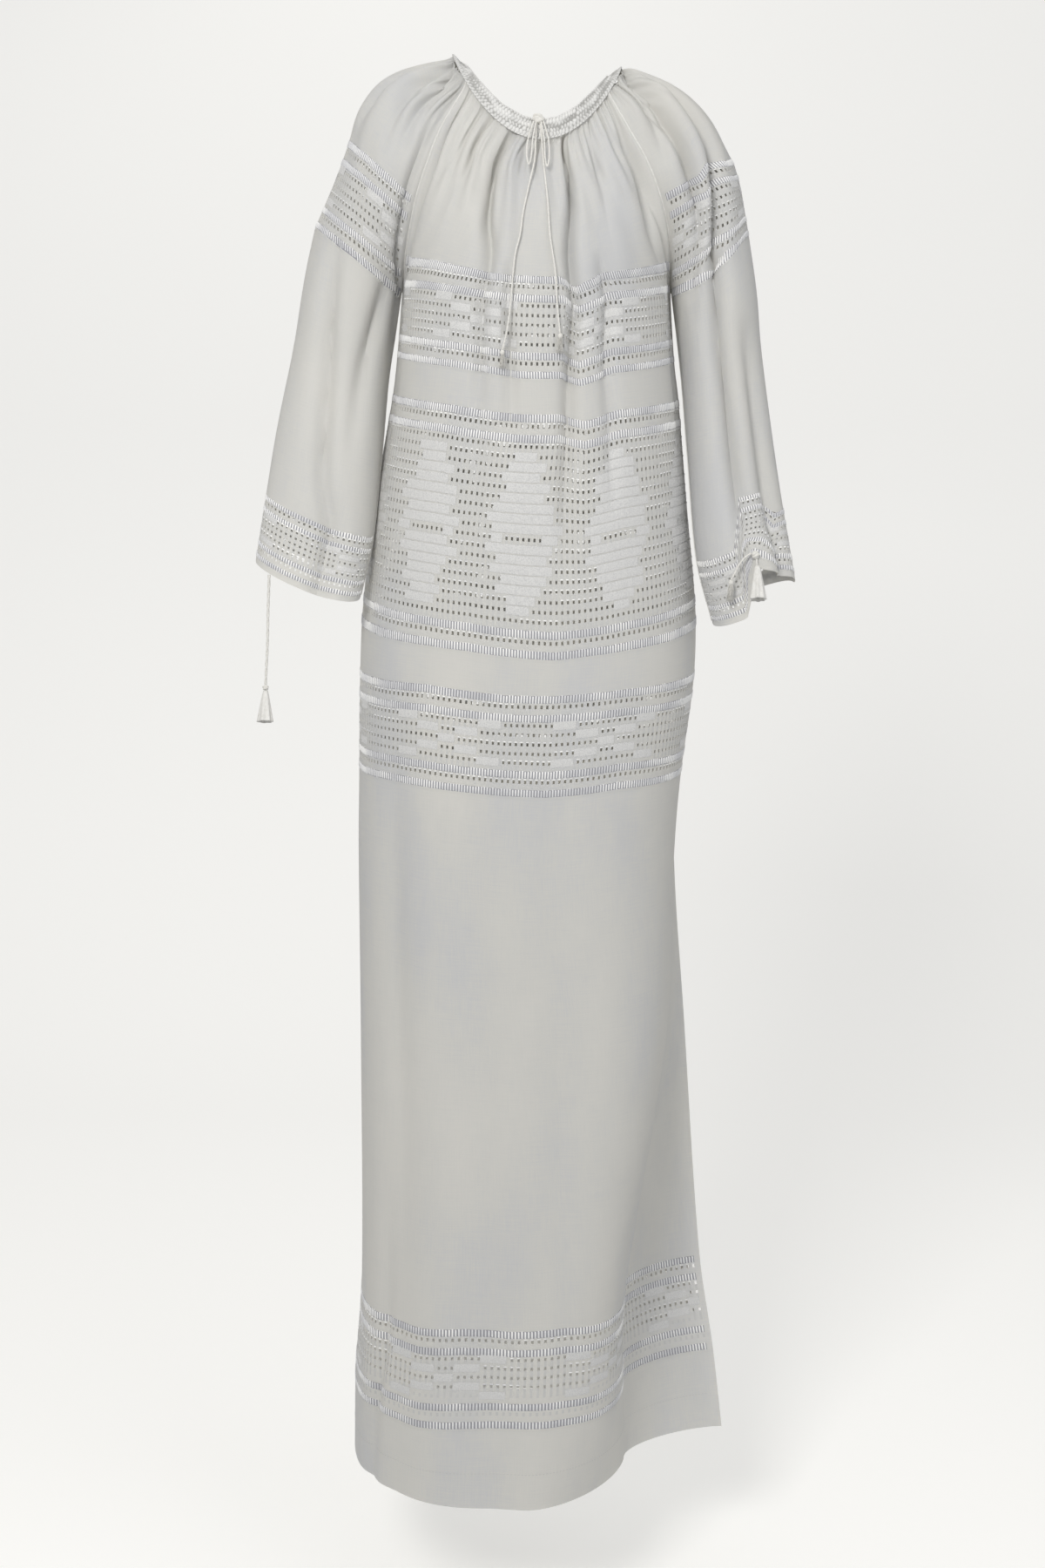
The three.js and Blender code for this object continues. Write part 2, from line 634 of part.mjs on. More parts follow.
const RIGHT_TIE = [
  [205.6, -103.3, -441.6], [200.2, -104.1, -444.8], [194.6, -104.3, -452], [191, -104.3, -459],
  [187.4, -104.1, -466.6],
];
const RIGHT_STRAND = [[211, -103.6, -447], [211.6, -104.5, -452.6]];

add('casing', casing());
add('front_panel', panel(true));
add('back_panel', panel(false));
add('left_sleeve', sleeve(-1));
add('right_sleeve', sleeve(1));
add('neck_knot', knot([2.9, -83, -41.4], [6, 3.6, 5.2]));
add('neck_loop_left', tube(LEFT_LOOP, LOOP));
add('neck_loop_right', tube(RIGHT_LOOP, LOOP));
add('neck_tail_left', tube(LEFT_TAIL, TAIL));
add('neck_tail_right', tube(RIGHT_TAIL, TAIL));
add('neck_tassel_left', tuft([-30.7, -125.6, -251.4], 17));
add('neck_tassel_right', tuft([22.8, -125.6, -236.4], 19));
add('left_tie', tube(LEFT_TIE, CUFF_CORD));
add('left_tie_knot', knot([-261.3, -90, -572.6], [3.1, 2.8, 2.9]));
add('left_tie_bell', bell([-261.4, -90, -575.8], 0.35));
add('right_tie_knot', knot([210, -102, -443], [3.9, 3.4, 4.2]));
add('right_tie', tube(RIGHT_TIE, 2));
add('right_tie_tuft', tuft([187, -104.2, -467], 22));
add('right_strand', tube(RIGHT_STRAND, 2));
add('right_tie_bell', bell([211.8, -104.7, -453], 0.4, 34));

export default dress;
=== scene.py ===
"""Looks of a long gathered dress in thin white cotton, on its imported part."""

import math

import bpy
import numpy as np
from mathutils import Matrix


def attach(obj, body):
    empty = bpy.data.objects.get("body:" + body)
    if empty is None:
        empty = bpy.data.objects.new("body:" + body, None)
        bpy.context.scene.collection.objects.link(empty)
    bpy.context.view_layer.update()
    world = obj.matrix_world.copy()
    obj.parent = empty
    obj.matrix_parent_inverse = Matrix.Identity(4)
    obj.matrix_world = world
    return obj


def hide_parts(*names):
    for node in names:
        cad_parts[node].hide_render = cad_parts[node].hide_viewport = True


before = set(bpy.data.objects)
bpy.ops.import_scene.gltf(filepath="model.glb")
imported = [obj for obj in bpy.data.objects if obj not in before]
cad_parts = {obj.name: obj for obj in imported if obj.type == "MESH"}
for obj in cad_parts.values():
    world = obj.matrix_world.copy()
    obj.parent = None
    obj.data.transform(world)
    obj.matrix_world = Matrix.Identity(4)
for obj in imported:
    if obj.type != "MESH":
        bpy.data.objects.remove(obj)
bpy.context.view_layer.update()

# ---- Camera ----
# A still camera in front of the dress, at the height of its hips, tilted down a little.

lens = bpy.data.cameras.new("camera")
lens.lens = 50
lens.sensor_width = 36
lens.clip_end = 50
camera = bpy.data.objects.new("camera", lens)
camera.location = (-0.012, -2.18, -0.25)
camera.rotation_euler = (math.radians(90 - 11.31), 0, 0)
bpy.context.collection.objects.link(camera)
bpy.context.scene.camera = camera

# ---- Neck cord: bow and tails ----
# A thin twisted cotton cord, drawn out of the gathered neck at the front, tied
# in a small bow. Its two ends hang down the front to their tassels.


def smooth(rows, at):
    """Columns of a table read at any places: the first column is the place, and
    each other column follows Hermite curves through its rows, with the slope at
    a row taken between the rows before and after it."""
    rows = np.asarray(rows, float)
    at = np.asarray(at, float)
    x = rows[:, 0]
    i = np.clip(np.searchsorted(x, at, side="left") - 1, 0, len(x) - 2)
    step = (x[i + 1] - x[i])[..., None]
    t = np.clip((at[..., None] - x[i][..., None]) / step, 0, 1)
    before = np.maximum(np.arange(len(x)) - 1, 0)
    after = np.minimum(np.arange(len(x)) + 1, len(x) - 1)
    slope = (rows[after] - rows[before]) / (x[after] - x[before])[:, None]
    u, w = slope[i] * step, slope[i + 1] * step
    a, b = rows[i], rows[i + 1]
    return a + u * t + (3 * (b - a) - 2 * u - w) * t**2 + (2 * (a - b) + u + w) * t**3


def along_route(points, spacing):
    """Evenly spaced points on a smooth curve through the points of a route."""
    points = np.asarray(points, float)
    chord = np.r_[0, np.cumsum(np.linalg.norm(np.diff(points, axis=0), axis=1))]
    rows = np.c_[chord, points]
    fine = smooth(rows, np.linspace(0, chord[-1], 400))[:, 1:]
    run = np.r_[0, np.cumsum(np.linalg.norm(np.diff(fine, axis=0), axis=1))]
    want = np.linspace(0, run[-1], max(int(run[-1] / spacing), 4) + 1)
    return np.stack([np.interp(want, run, fine[:, k]) for k in range(3)], 1)


def unit(vectors):
    """Vectors scaled to length one."""
    return vectors / np.maximum(np.linalg.norm(vectors, axis=-1, keepdims=True), 1e-12)


def ring_faces(rows, columns):
    """Quads between the rings of a tube, numbered ring by ring."""
    r, c = np.meshgrid(np.arange(rows - 1), np.arange(columns), indexing="ij")
    a = r * columns + c
    b = r * columns + (c + 1) % columns
    return np.stack([a, b, b + columns, a + columns], -1).reshape(-1, 4)


def twisted(path, radius, lay, sides=14, phase=0.0, notch=0.24, across=(0, 1, 0)):
    """Points and faces of a two-ply cord: round each point of the path the radius
    is r * (1 - notch + notch * |cos(angle - 2 pi s / lay)|), s being the length
    along the path, so that the groove between the plies winds round it."""
    tangent = unit(np.gradient(path, axis=0))
    side = unit(np.cross(tangent, np.asarray(across, float)))
    other = np.cross(tangent, side)
    s = np.r_[0, np.cumsum(np.linalg.norm(np.diff(path, axis=0), axis=1))]
    angle = np.linspace(0, 2 * math.pi, sides, endpoint=False)
    wind = angle[None] - math.pi * s[:, None] / lay + phase
    r = np.broadcast_to(np.asarray(radius, float), s.shape)[:, None]
    r = r * (1 - notch + notch * np.abs(np.cos(wind)))
    body = path[:, None] + r[..., None] * (
        np.cos(angle)[None, :, None] * side[:, None]
        + np.sin(angle)[None, :, None] * other[:, None])
    points = np.concatenate([body.reshape(-1, 3), path[:1], path[-1:]])
    faces = [tuple(f) for f in ring_faces(len(path), sides)]
    head, foot = len(points) - 2, len(points) - 1
    last = (len(path) - 1) * sides
    faces += [((k + 1) % sides, k, head) for k in range(sides)]
    faces += [(last + k, last + (k + 1) % sides, foot) for k in range(sides)]
    return points, faces


def joined(shapes):
    """Several shapes of points and faces as one."""
    points, faces, start = [], [], 0
    for p, f in shapes:
        points.append(p)
        faces += [tuple(int(i) + start for i in face) for face in f]
        start += len(p)
    return np.concatenate(points), faces


def make(name, points, faces, finish, uv=None):
    """A smooth mesh object at the origin. uv holds one pair for each point."""
    mesh = bpy.data.meshes.new(name)
    mesh.from_pydata(np.asarray(points).tolist(), [], [tuple(map(int, f)) for f in faces])
    if uv is not None:
        layer = mesh.uv_layers.new(name="cloth")
        corner = np.empty(len(mesh.loops), np.int32)
        mesh.loops.foreach_get("vertex_index", corner)
        layer.data.foreach_set("uv", np.asarray(uv, np.float32)[corner].ravel())
    mesh.polygons.foreach_set("use_smooth", [True] * len(mesh.polygons))
    mesh.materials.append(finish.material)
    mesh.validate()
    mesh.update()
    obj = bpy.data.objects.new(name, mesh)
    bpy.context.collection.objects.link(obj)
    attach(obj, "root")
    return obj


class Value:
    """What comes out of a node; arithmetic on it adds the Math nodes it needs."""

    def __init__(self, tree, socket):
        self.tree = tree
        self.socket = socket

    def math(self, operation, *values):
        node = self.tree.nodes.new("ShaderNodeMath")
        node.operation = operation
        for slot, value in zip(node.inputs, values):
            if isinstance(value, Value):
                self.tree.links.new(value.socket, slot)
            else:
                slot.default_value = value
        return Value(self.tree, node.outputs[0])

    def __add__(self, other):
        return self.math("ADD", self, other)

    def __radd__(self, other):
        return self.math("ADD", other, self)

    def __mul__(self, other):
        return self.math("MULTIPLY", self, other)

    def __rmul__(self, other):
        return self.math("MULTIPLY", other, self)

    def sine(self):
        return self.math("SINE", self)


class Finish:
    """A material: one Principled shader, and the nodes that feed it."""

    def __init__(self, name, constants):
        self.material = bpy.data.materials.new(name)
        self.material.use_nodes = True
        self.tree = self.material.node_tree
        self.shader = self.tree.nodes["Principled BSDF"]
        for socket, value in constants.items():
            self.shader.inputs[socket].default_value = value

    def node(self, kind, settings=None, values=None, out=0):
        """A node of a kind, its settings set first, then its sockets."""
        node = self.tree.nodes.new("ShaderNode" + kind)
        for name, value in (settings or {}).items():
            if name == "stops":
                ramp = node.color_ramp.elements
                while len(ramp) < len(value):
                    ramp.new(0.5)
                for stop, (place, colour) in zip(ramp, value):
                    stop.position = place
                    stop.color = colour
            else:
                setattr(node, name, value)
        for name, value in (values or {}).items():
            if isinstance(value, Value):
                self.tree.links.new(value.socket, node.inputs[name])
            else:
                node.inputs[name].default_value = value
        return Value(self.tree, node.outputs[out])

    def feed(self, socket, value):
        """Links a value to a socket of the shader."""
        self.tree.links.new(value.socket, self.shader.inputs[socket])

    def noise(self, at, scale, detail, stretch=None):
        """Noise at a coordinate, which may be multiplied by three factors first."""
        if stretch:
            at = self.node("Mapping", values={"Vector": at, "Scale": stretch})
        return self.node("TexNoise", values={"Vector": at, "Scale": scale, "Detail": detail})

    def coloured(self, value, *stops):
        """The base colour, read from a ramp; each stop is a place and a colour."""
        stops = [(at, (*colour, 1)) for at, colour in stops]
        self.feed("Base Color", self.node("ValToRGB", {"stops": stops}, {"Fac": value}))

    def bumped(self, height, strength, distance):
        """Relief of the surface by a height from 0 to 1 times the distance."""
        self.feed("Normal", self.node("Bump", values={
            "Height": height, "Strength": strength, "Distance": distance}))

    def lit_through(self, colour, share):
        """Thin cloth also passes light: part of the shader is a Translucent one."""
        through = self.node("BsdfTranslucent", values={"Color": colour})
        both = self.node("MixShader", values={"Fac": share})
        mixer = both.socket.node
        self.tree.links.new(self.shader.outputs[0], mixer.inputs[1])
        self.tree.links.new(through.socket, mixer.inputs[2])
        output = self.tree.nodes["Material Output"]
        self.tree.links.new(mixer.outputs[0], output.inputs["Surface"])


cord_cotton = Finish(
    "cord_cotton", {"Roughness": 0.8, "Sheen Weight": 0.2, "Sheen Roughness": 0.5})
fuzz = cord_cotton.noise(cord_cotton.node("TexCoord", out=3), 900.0, 3.0)
cord_cotton.coloured(fuzz, (0.3, (0.66, 0.645, 0.60)), (0.6, (0.80, 0.785, 0.745)))
cord_cotton.bumped(fuzz, 0.5, 0.0004)

NECK_CORD = 0.0018
BOW_CORD = 0.0016
left_tail_route = [
    (0.0012, -0.0852, -0.0461), (0.0002, -0.0922, -0.0610), (-0.0010, -0.0994, -0.0800),
    (-0.0064, -0.1100, -0.1043), (-0.0112, -0.1160, -0.1263), (-0.0144, -0.1206, -0.1481),
    (-0.0184, -0.1226, -0.1637), (-0.0208, -0.1242, -0.1833), (-0.0232, -0.1252, -0.2107),
    (-0.0265, -0.1254, -0.2342), (-0.0305, -0.1254, -0.2510)]
right_tail_route = [
    (0.0046, -0.0852, -0.0461), (0.0059, -0.0922, -0.0610), (0.0072, -0.0992, -0.0791),
    (0.0112, -0.1138, -0.1169), (0.0136, -0.1210, -0.1497), (0.0184, -0.1241, -0.1817),
    (0.0201, -0.1252, -0.2107), (0.0226, -0.1254, -0.2360)]
left_bow_route = [
    (-0.0017, -0.0860, -0.0441), (-0.0069, -0.0946, -0.0610), (-0.0080, -0.1026, -0.0770),
    (-0.0060, -0.1060, -0.0840), (-0.0040, -0.1034, -0.0770), (-0.0026, -0.0966, -0.0610),
    (0.0006, -0.0874, -0.0447)]
right_bow_route = [
    (0.0075, -0.0860, -0.0441), (0.0119, -0.0946, -0.0610), (0.0125, -0.1026, -0.0780),
    (0.0106, -0.1060, -0.0860), (0.0088, -0.1034, -0.0780), (0.0080, -0.0966, -0.0610),
    (0.0052, -0.0874, -0.0447)]


def strands(top, length, count, spread, thick, seed, lean=(0, 0)):
    """A tuft of thread ends below a point: strand k goes down from a disc, out by
    spread * t with a small wave, and its radius tapers to a third. Three sides."""
    draw = np.random.default_rng(seed)
    angle = draw.uniform(0, 2 * math.pi, count)
    reach = np.sqrt(draw.uniform(0.02, 1, count))
    long = length * draw.uniform(0.86, 1, count)
    wave = draw.uniform(-1, 1, (count, 2)) * 0.0009
    t = np.linspace(0, 1, 7)
    flare = 0.35 + 0.65 * t**0.8
    centre = np.stack([
        top[0] + np.cos(angle)[:, None] * reach[:, None] * spread * flare
        + wave[:, :1] * np.sin(5 * t) + lean[0] * t,
        top[1] + np.sin(angle)[:, None] * reach[:, None] * spread * flare * 0.8
        + wave[:, 1:] * np.sin(5 * t + 1) + lean[1] * t,
        top[2] - long[:, None] * t], -1)
    r = thick / 2 * (1 - 0.6 * t)[None, :, None, None]
    corner = np.arange(3) * 2 * math.pi / 3
    offset = np.stack([np.cos(corner), np.sin(corner), 0 * corner], -1)
    points = (centre[:, :, None] + r * offset[None, None]).reshape(-1, 3)
    first = 21 * np.arange(count)[:, None, None]
    faces = (ring_faces(7, 3)[None] + first).reshape(-1, 4)
    ends = (np.array([[0, 2, 1], [18, 19, 20]])[None] + first).reshape(-1, 3)
    return points, [tuple(f) for f in faces] + [tuple(f) for f in ends]


def wound_ball(centre, size, turns=0, ridge=0.06, rows=18, columns=28):
    """A ball stretched to three radii, with thread ridges winding round it."""
    v, u = np.meshgrid(np.linspace(0, math.pi, rows),
                       np.linspace(0, 2 * math.pi, columns, endpoint=False), indexing="ij")
    swell = 1 + ridge * np.sin(turns * v + 2 * u) * np.sin(v)
    points = np.stack([
        centre[0] + size[0] * swell * np.sin(v) * np.cos(u),
        centre[1] + size[1] * swell * np.sin(v) * np.sin(u),
        centre[2] + size[2] * swell * np.cos(v)], -1).reshape(-1, 3)
    faces = [tuple(f[::-1]) for f in ring_faces(rows, columns)]
    return points, faces


for name, route, stands_for, length in (
        ("bow_left", left_bow_route, "neck_loop_left", 0.092),
        ("bow_right", right_bow_route, "neck_loop_right", 0.096)):
    path = along_route(route, 0.0006)
    bow = make(name, *twisted(path, BOW_CORD / 2, 0.0035), cord_cotton)
    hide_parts(stands_for)

for name, stands_for, top, length, seed in (
        ("tassel_left", "neck_tassel_left", (-0.0307, -0.1256, -0.2514), 0.0168, 3),
        ("tassel_right", "neck_tassel_right", (0.0228, -0.1256, -0.2364), 0.0188, 4)):
    head = wound_ball((top[0], top[1], top[2] - 0.0023), (0.0023, 0.0022, 0.0025), turns=14)
    thread = strands((top[0], top[1], top[2] - 0.003), length - 0.003, 46, 0.0032, 0.0005, seed)
    make(name, *joined([head, thread]), cord_cotton)
    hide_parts(stands_for)

for name, route, stands_for, tassel, length in (
        ("tail_left", left_tail_route, "neck_tail_left", "tassel_left", 0.215),
        ("tail_right", right_tail_route, "neck_tail_right", "tassel_right", 0.196)):
    path = along_route(route, 0.0008)
    tail = make(name, *twisted(path, NECK_CORD / 2, 0.0042), cord_cotton)
    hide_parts(stands_for)

# The cord goes one and a half times round the knot, in a flattened coil.
t = np.linspace(0, 1, 90)
coil = 2 * math.pi * 1.5 * t
wrap_path = np.stack([
    0.0029 + 0.0046 * np.cos(coil + 0.6) * (1 - 0.15 * t),
    -0.0832 - 0.0019 * np.sin(coil + 0.6),
    -0.0414 + 0.0036 * np.sin(coil)], 1)
bow_knot = make("bow_knot", *joined([
    wound_ball((0.0029, -0.0830, -0.0414), (0.0052, 0.0029, 0.0045), turns=5, ridge=0.12),
    twisted(wrap_path, 0.0011, 0.0035, sides=10, across=(0, 0, 1))]), cord_cotton)
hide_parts("neck_knot")

# ---- Left cuff tie ----
# A two-ply cord sewn to the edge of the left cuff, knotted above a small bell
# of folded cotton.

CUFF_CORD = 0.003
left_tie_route = [
    (-0.2555, -0.0890, -0.4633), (-0.2563, -0.0894, -0.4800), (-0.2572, -0.0898, -0.4970),
    (-0.2586, -0.0900, -0.5310), (-0.2606, -0.0900, -0.5600), (-0.2612, -0.0900, -0.5694)]


def cloth_bell(top, length, radius, tilt, folds=6, phase=0.0):
    """A small bell of cloth: radius(t) grows from a tied neck to the mouth, with
    folds that deepen downwards, turned in again inside; tilted about X."""
    outside, inside, around, tied, wall = 22, 10, 48, 0.0023, 0.0011
    outer = np.linspace(0, 1, outside)
    profile = np.r_[tied + (radius - tied) * outer**0.85,
                    (radius - wall) * np.linspace(1, 0.25, inside)]
    height = np.r_[-length * outer, -length * np.linspace(1, 0.35, inside)]
    depth = np.r_[0.13 * outer, 0.13 * np.linspace(1, 0.3, inside)][:, None]
    u = np.linspace(0, 2 * math.pi, around, endpoint=False)
    waves = np.cos(folds * u + phase + 1.5 * np.sin(u))[None]
    r = profile[:, None] * (1 + depth * waves - depth * 0.5)
    x, y, z = r * np.cos(u), r * np.sin(u), np.broadcast_to(height[:, None], r.shape)
    c, s = math.cos(tilt), math.sin(tilt)
    points = np.stack([top[0] + x, top[1] + c * y + s * z, top[2] - s * y + c * z], -1)
    faces = [tuple(f[::-1]) for f in ring_faces(outside + inside, around)]
    rim = (outside + inside - 1) * around + np.arange(around)
    faces += [tuple(range(around))[::-1], tuple(rim)]
    return points.reshape(-1, 3), faces


plain_cotton = Finish(
    "plain_cotton", {"Roughness": 0.86, "Sheen Weight": 0.12, "Sheen Roughness": 0.4})
cloud = plain_cotton.noise(plain_cotton.node("TexCoord", out=3), 300.0, 4.0)
plain_cotton.coloured(cloud, (0.3, (0.70, 0.685, 0.65)), (0.65, (0.80, 0.79, 0.76)))
plain_cotton.bumped(cloud, 0.4, 0.0005)

left_knot = make("left_knot", *joined([
    wound_ball((-0.2613, -0.0900, -0.5726), (0.0030, 0.0027, 0.0028), turns=6, ridge=0.14),
    wound_ball((-0.2606, -0.0909, -0.5718), (0.0021, 0.0018, 0.0015), turns=4)]), cord_cotton)
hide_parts("left_tie_knot")
left_bell = make(
    "left_bell", *cloth_bell((-0.2614, -0.0900, -0.5758), 0.0305, 0.0077, 0.35), plain_cotton)
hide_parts("left_tie_bell")

path = along_route(left_tie_route, 0.0008)
drop = np.linspace(0, 1, len(path))
taper = CUFF_CORD / 2 * (1.02 - 0.1 * drop)
left_tie = make("left_cuff_cord", *twisted(path, taper, 0.0095, notch=0.36), cord_cotton)
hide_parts("left_tie")

# ---- Right cuff tie ----
# The front of the right cuff is drawn up to a knot. One end of its cord curves
# away to a fluffy tuft, the other drops straight into a bell like the left one.

SHORT_CORD = 0.002
right_tie_route = [
    (0.2056, -0.1033, -0.4416), (0.2002, -0.1041, -0.4448), (0.1946, -0.1043, -0.4520),
    (0.1910, -0.1043, -0.4590), (0.1874, -0.1041, -0.4666)]

tuft_head = wound_ball((0.1870, -0.1042, -0.4692), (0.0023, 0.0022, 0.0025), turns=12)
tuft_thread = strands((0.1870, -0.1042, -0.4698), 0.0188, 70, 0.0036, 0.0005, 9, lean=(-0.0012, 0))
right_tuft = make("right_tuft", *joined([tuft_head, tuft_thread]), cord_cotton)
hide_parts("right_tie_tuft")

right_knot = make("right_knot", *joined([
    wound_ball((0.2100, -0.1020, -0.4430), (0.0038, 0.0032, 0.0040), turns=6, ridge=0.12),
    wound_ball((0.2088, -0.1036, -0.4418), (0.0024, 0.0018, 0.0020), turns=4)]), cord_cotton)
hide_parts("right_tie_knot")

drop_path = along_route([(0.2110, -0.1036, -0.4470), (0.2116, -0.1045, -0.4526)], 0.0006)
right_bell = make("right_bell", *joined([
    twisted(drop_path, SHORT_CORD / 2, 0.004),
    cloth_bell((0.2118, -0.1047, -0.4530), 0.0335, 0.0078, 0.4, folds=7, phase=1.0)]),
    plain_cotton)
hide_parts("right_strand", "right_tie_bell")

path = along_route(right_tie_route, 0.0006)
right_tie = make("right_cuff_cord", *twisted(path, SHORT_CORD / 2, 0.0045), cord_cotton)
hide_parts("right_tie")

# ---- Front panel: its form ----
# A wide straight length of thin cotton, gathered into the neck and hanging from
# it in soft folds. Its side seam is open below the hip on one side, where the
# cloth turns back outwards.

MM = 0.001                # the dress's own measures are in millimetres
NECK_LEVEL, YOKE_FOOT, ARMPIT, SLIT_LEVEL, HEM_LEVEL = 60, 240, 212, 750, 1428
SEAM = 0.3                # gap between two pieces along a seam
CENTRE_X = -8             # where the middle of the front and the back hangs
SLIT_ASIDE = 14           # how far the back draws aside below the slit

# at, level, back, edge, left, right, fore, aft
RAGLAN = np.array([
    (0.00, 60, -46, -18, -64, 68, -47, 45), (0.14, 80, -58, -30, -78, 77, -56, 52),
    (0.28, 103, -76, -50, -90, 89, -61, 58), (0.42, 127, -100, -77, -101, 105, -62, 60),
    (0.57, 152, -128, -108, -112, 118, -57, 56), (0.71, 170, -152, -136, -119, 126, -46, 46),
    (0.85, 188, -176, -165, -125, 130, -29, 29), (1.00, 212, -202, -196, -128.6, 131.6, -4, 4)])
# level, back, edge, left, right, wideL, wideR, foldX, foldY
BODY = np.array([
    (279, -268, -264, -135, 136.5, 0, 0, 136.5, 0), (314, -300, -297, -139.5, 141, 2, 2, 141, 2),
    (425, -408, -402, -159, 151, 6, 4, 151, 4), (536, -516, -508, -172.5, 161.5, 8, 6, 161.5, 6),
    (579, -574, -571, -176, 161, 10, 6, 161, 6), (674, -674, -674, -178.5, 149, 12, 8, 149, 8),
    (750, -750, -750, -180.5, 144, 18, 12, 144, 12), (950, -950, -950, -182, 160, 34, 44, 137, 2),
    (1228, -1228, -1228, -185.5, 183, 50, 72, 97, 0),
    (1335, -1335, -1335, -194, 199, 52, 67, 96, -5),
    (1428, -1428, -1428, -197, 210, 54, 61, 98, -6)])
# level, front, back, squareL, squareR, aftSquare
DEPTH = np.array([
    (60, -86, 79, 2.0, 2.0, 2.0), (103, -107, 97, 2.1, 2.1, 2.0), (152, -119, 106, 2.2, 2.2, 2.0),
    (212, -123, 106, 2.3, 2.3, 2.1), (425, -124, 106, 2.4, 2.4, 2.1),
    (674, -123, 118, 2.5, 2.5, 2.2), (950, -120, 128, 2.7, 2.6, 2.3),
    (1228, -121, 142, 2.9, 2.8, 2.4), (1428, -121, 152, 2.55, 1.6, 2.4)])
# level, degrees that a half row turns from the middle to its side
TURN = np.array([(60, 52), (103, 60), (152, 70), (188, 82), (212, 90), (1428, 90)])
# The neck band lies between two rings, its top and its foot.
NECK_TOP = dict(x=67, front=-78, back=70, side=9, dip_front=50, dip_back=37, power=1.1)
NECK_LOW = dict(x=81, front=-86, back=79, side=20, dip_front=80, dip_back=67, power=0.85)

wide = (RAGLAN[:, 6] + RAGLAN[:, 7]) / 2
SIDES = np.concatenate([
    np.c_[RAGLAN[:, 1:6], wide, wide, RAGLAN[:, 5:7], (RAGLAN[:, 7] - RAGLAN[:, 6]) / 2],
    np.c_[BODY, np.full(len(BODY), SEAM / 2)]])


def ease(x, low, high):
    """Smooth step from 0 at low to 1 at high."""
    t = np.clip((x - low) / (high - low), 0, 1)
    return t * t * (3 - 2 * t)


def evenly(points, count):
    """Each row of points again as count + 1 points, evenly spaced along it."""
    step = np.linalg.norm(np.diff(points, axis=1), axis=2)
    run = np.concatenate([np.zeros((len(points), 1)), np.cumsum(step, axis=1)], 1)
    rows = []
    for line, length in zip(points, run):
        want = np.linspace(0, length[-1], count + 1)
        rows.append(np.stack([np.interp(want, length, line[:, k]) for k in range(3)], 1))
    return np.stack(rows)


def neck_ring(ring, angle):
    """The gathered neck seen as a ring: x = 2 + a cos, y = b sin, and z dips in
    front and behind by the dip times sin squared to a power, with a slight tilt."""
    c, s = np.cos(angle), np.sin(angle)
    dip = np.where(s < 0, ring["dip_front"], ring["dip_back"])
    x = 2 + ring["x"] * c
    y = np.where(s < 0, -ring["front"] * s, ring["back"] * s)
    z = ring["side"] - 0.07 * x - dip * (s * s) ** ring["power"]
    return np.stack([x, y, z], -1)


def seam_angle(x, y):
    """Angle of the neck ring where a seam meets it."""
    deep = -NECK_LOW["front"] if y < 0 else NECK_LOW["back"]
    return math.atan2(y / deep, (x - 2) / NECK_LOW["x"])


def meet_ring(points, start, end, blend):
    """Rows that lie on the neck ring at blend 0 and on their own curve at 1."""
    angle = np.linspace(start, end, points.shape[1])
    ring = neck_ring(NECK_LOW, angle)[None]
    return ring + (points - ring) * blend[:, None, None]


def half_rows(middle, target, square, turn, edge=None):
    """Half a row of a panel: a quarter turn with sin and cos to the power
    2 / square, from the middle to the target; then, to an edge that lies further
    on, a second turn that opens the other way."""
    angle = turn[:, None] * np.linspace(0, 1, 121)
    power = (2 / square)[:, None]
    reach = np.sin(turn)[:, None] ** power
    close = np.maximum(np.cos(turn), 0)[:, None] ** power
    across = np.sin(angle) ** power
    half_x = (target[:, :1] - middle[:, :1]) / reach
    base_y = (target[:, 1:2] - middle[:, 1:2] * close) / (1 - close)
    x = middle[:, :1] + half_x * across
    y = base_y + (middle[:, 1:2] - base_y) * np.maximum(np.cos(angle), 0) ** power
    z = middle[:, 2:] + (target[:, 2:] - middle[:, 2:]) * (across / reach) ** 2
    points = np.stack([x, y, z], -1)
    if edge is not None:
        far = np.linalg.norm(edge - target, axis=1) > 1
        shut = np.where(far[:, None], edge, target)
        angle = math.pi / 2 * np.linspace(0, 1, 41)[1:][None]
        x = shut[:, :1] - (shut[:, :1] - target[:, :1]) * np.maximum(np.cos(angle), 0) ** 1.3
        y = target[:, 1:2] + (shut[:, 1:2] - target[:, 1:2]) * np.sin(angle) ** 1.3
        z = np.broadcast_to(shut[:, 2:], x.shape)
        points = np.concatenate([points, np.stack([x, y, z], -1)], 1)
    return points


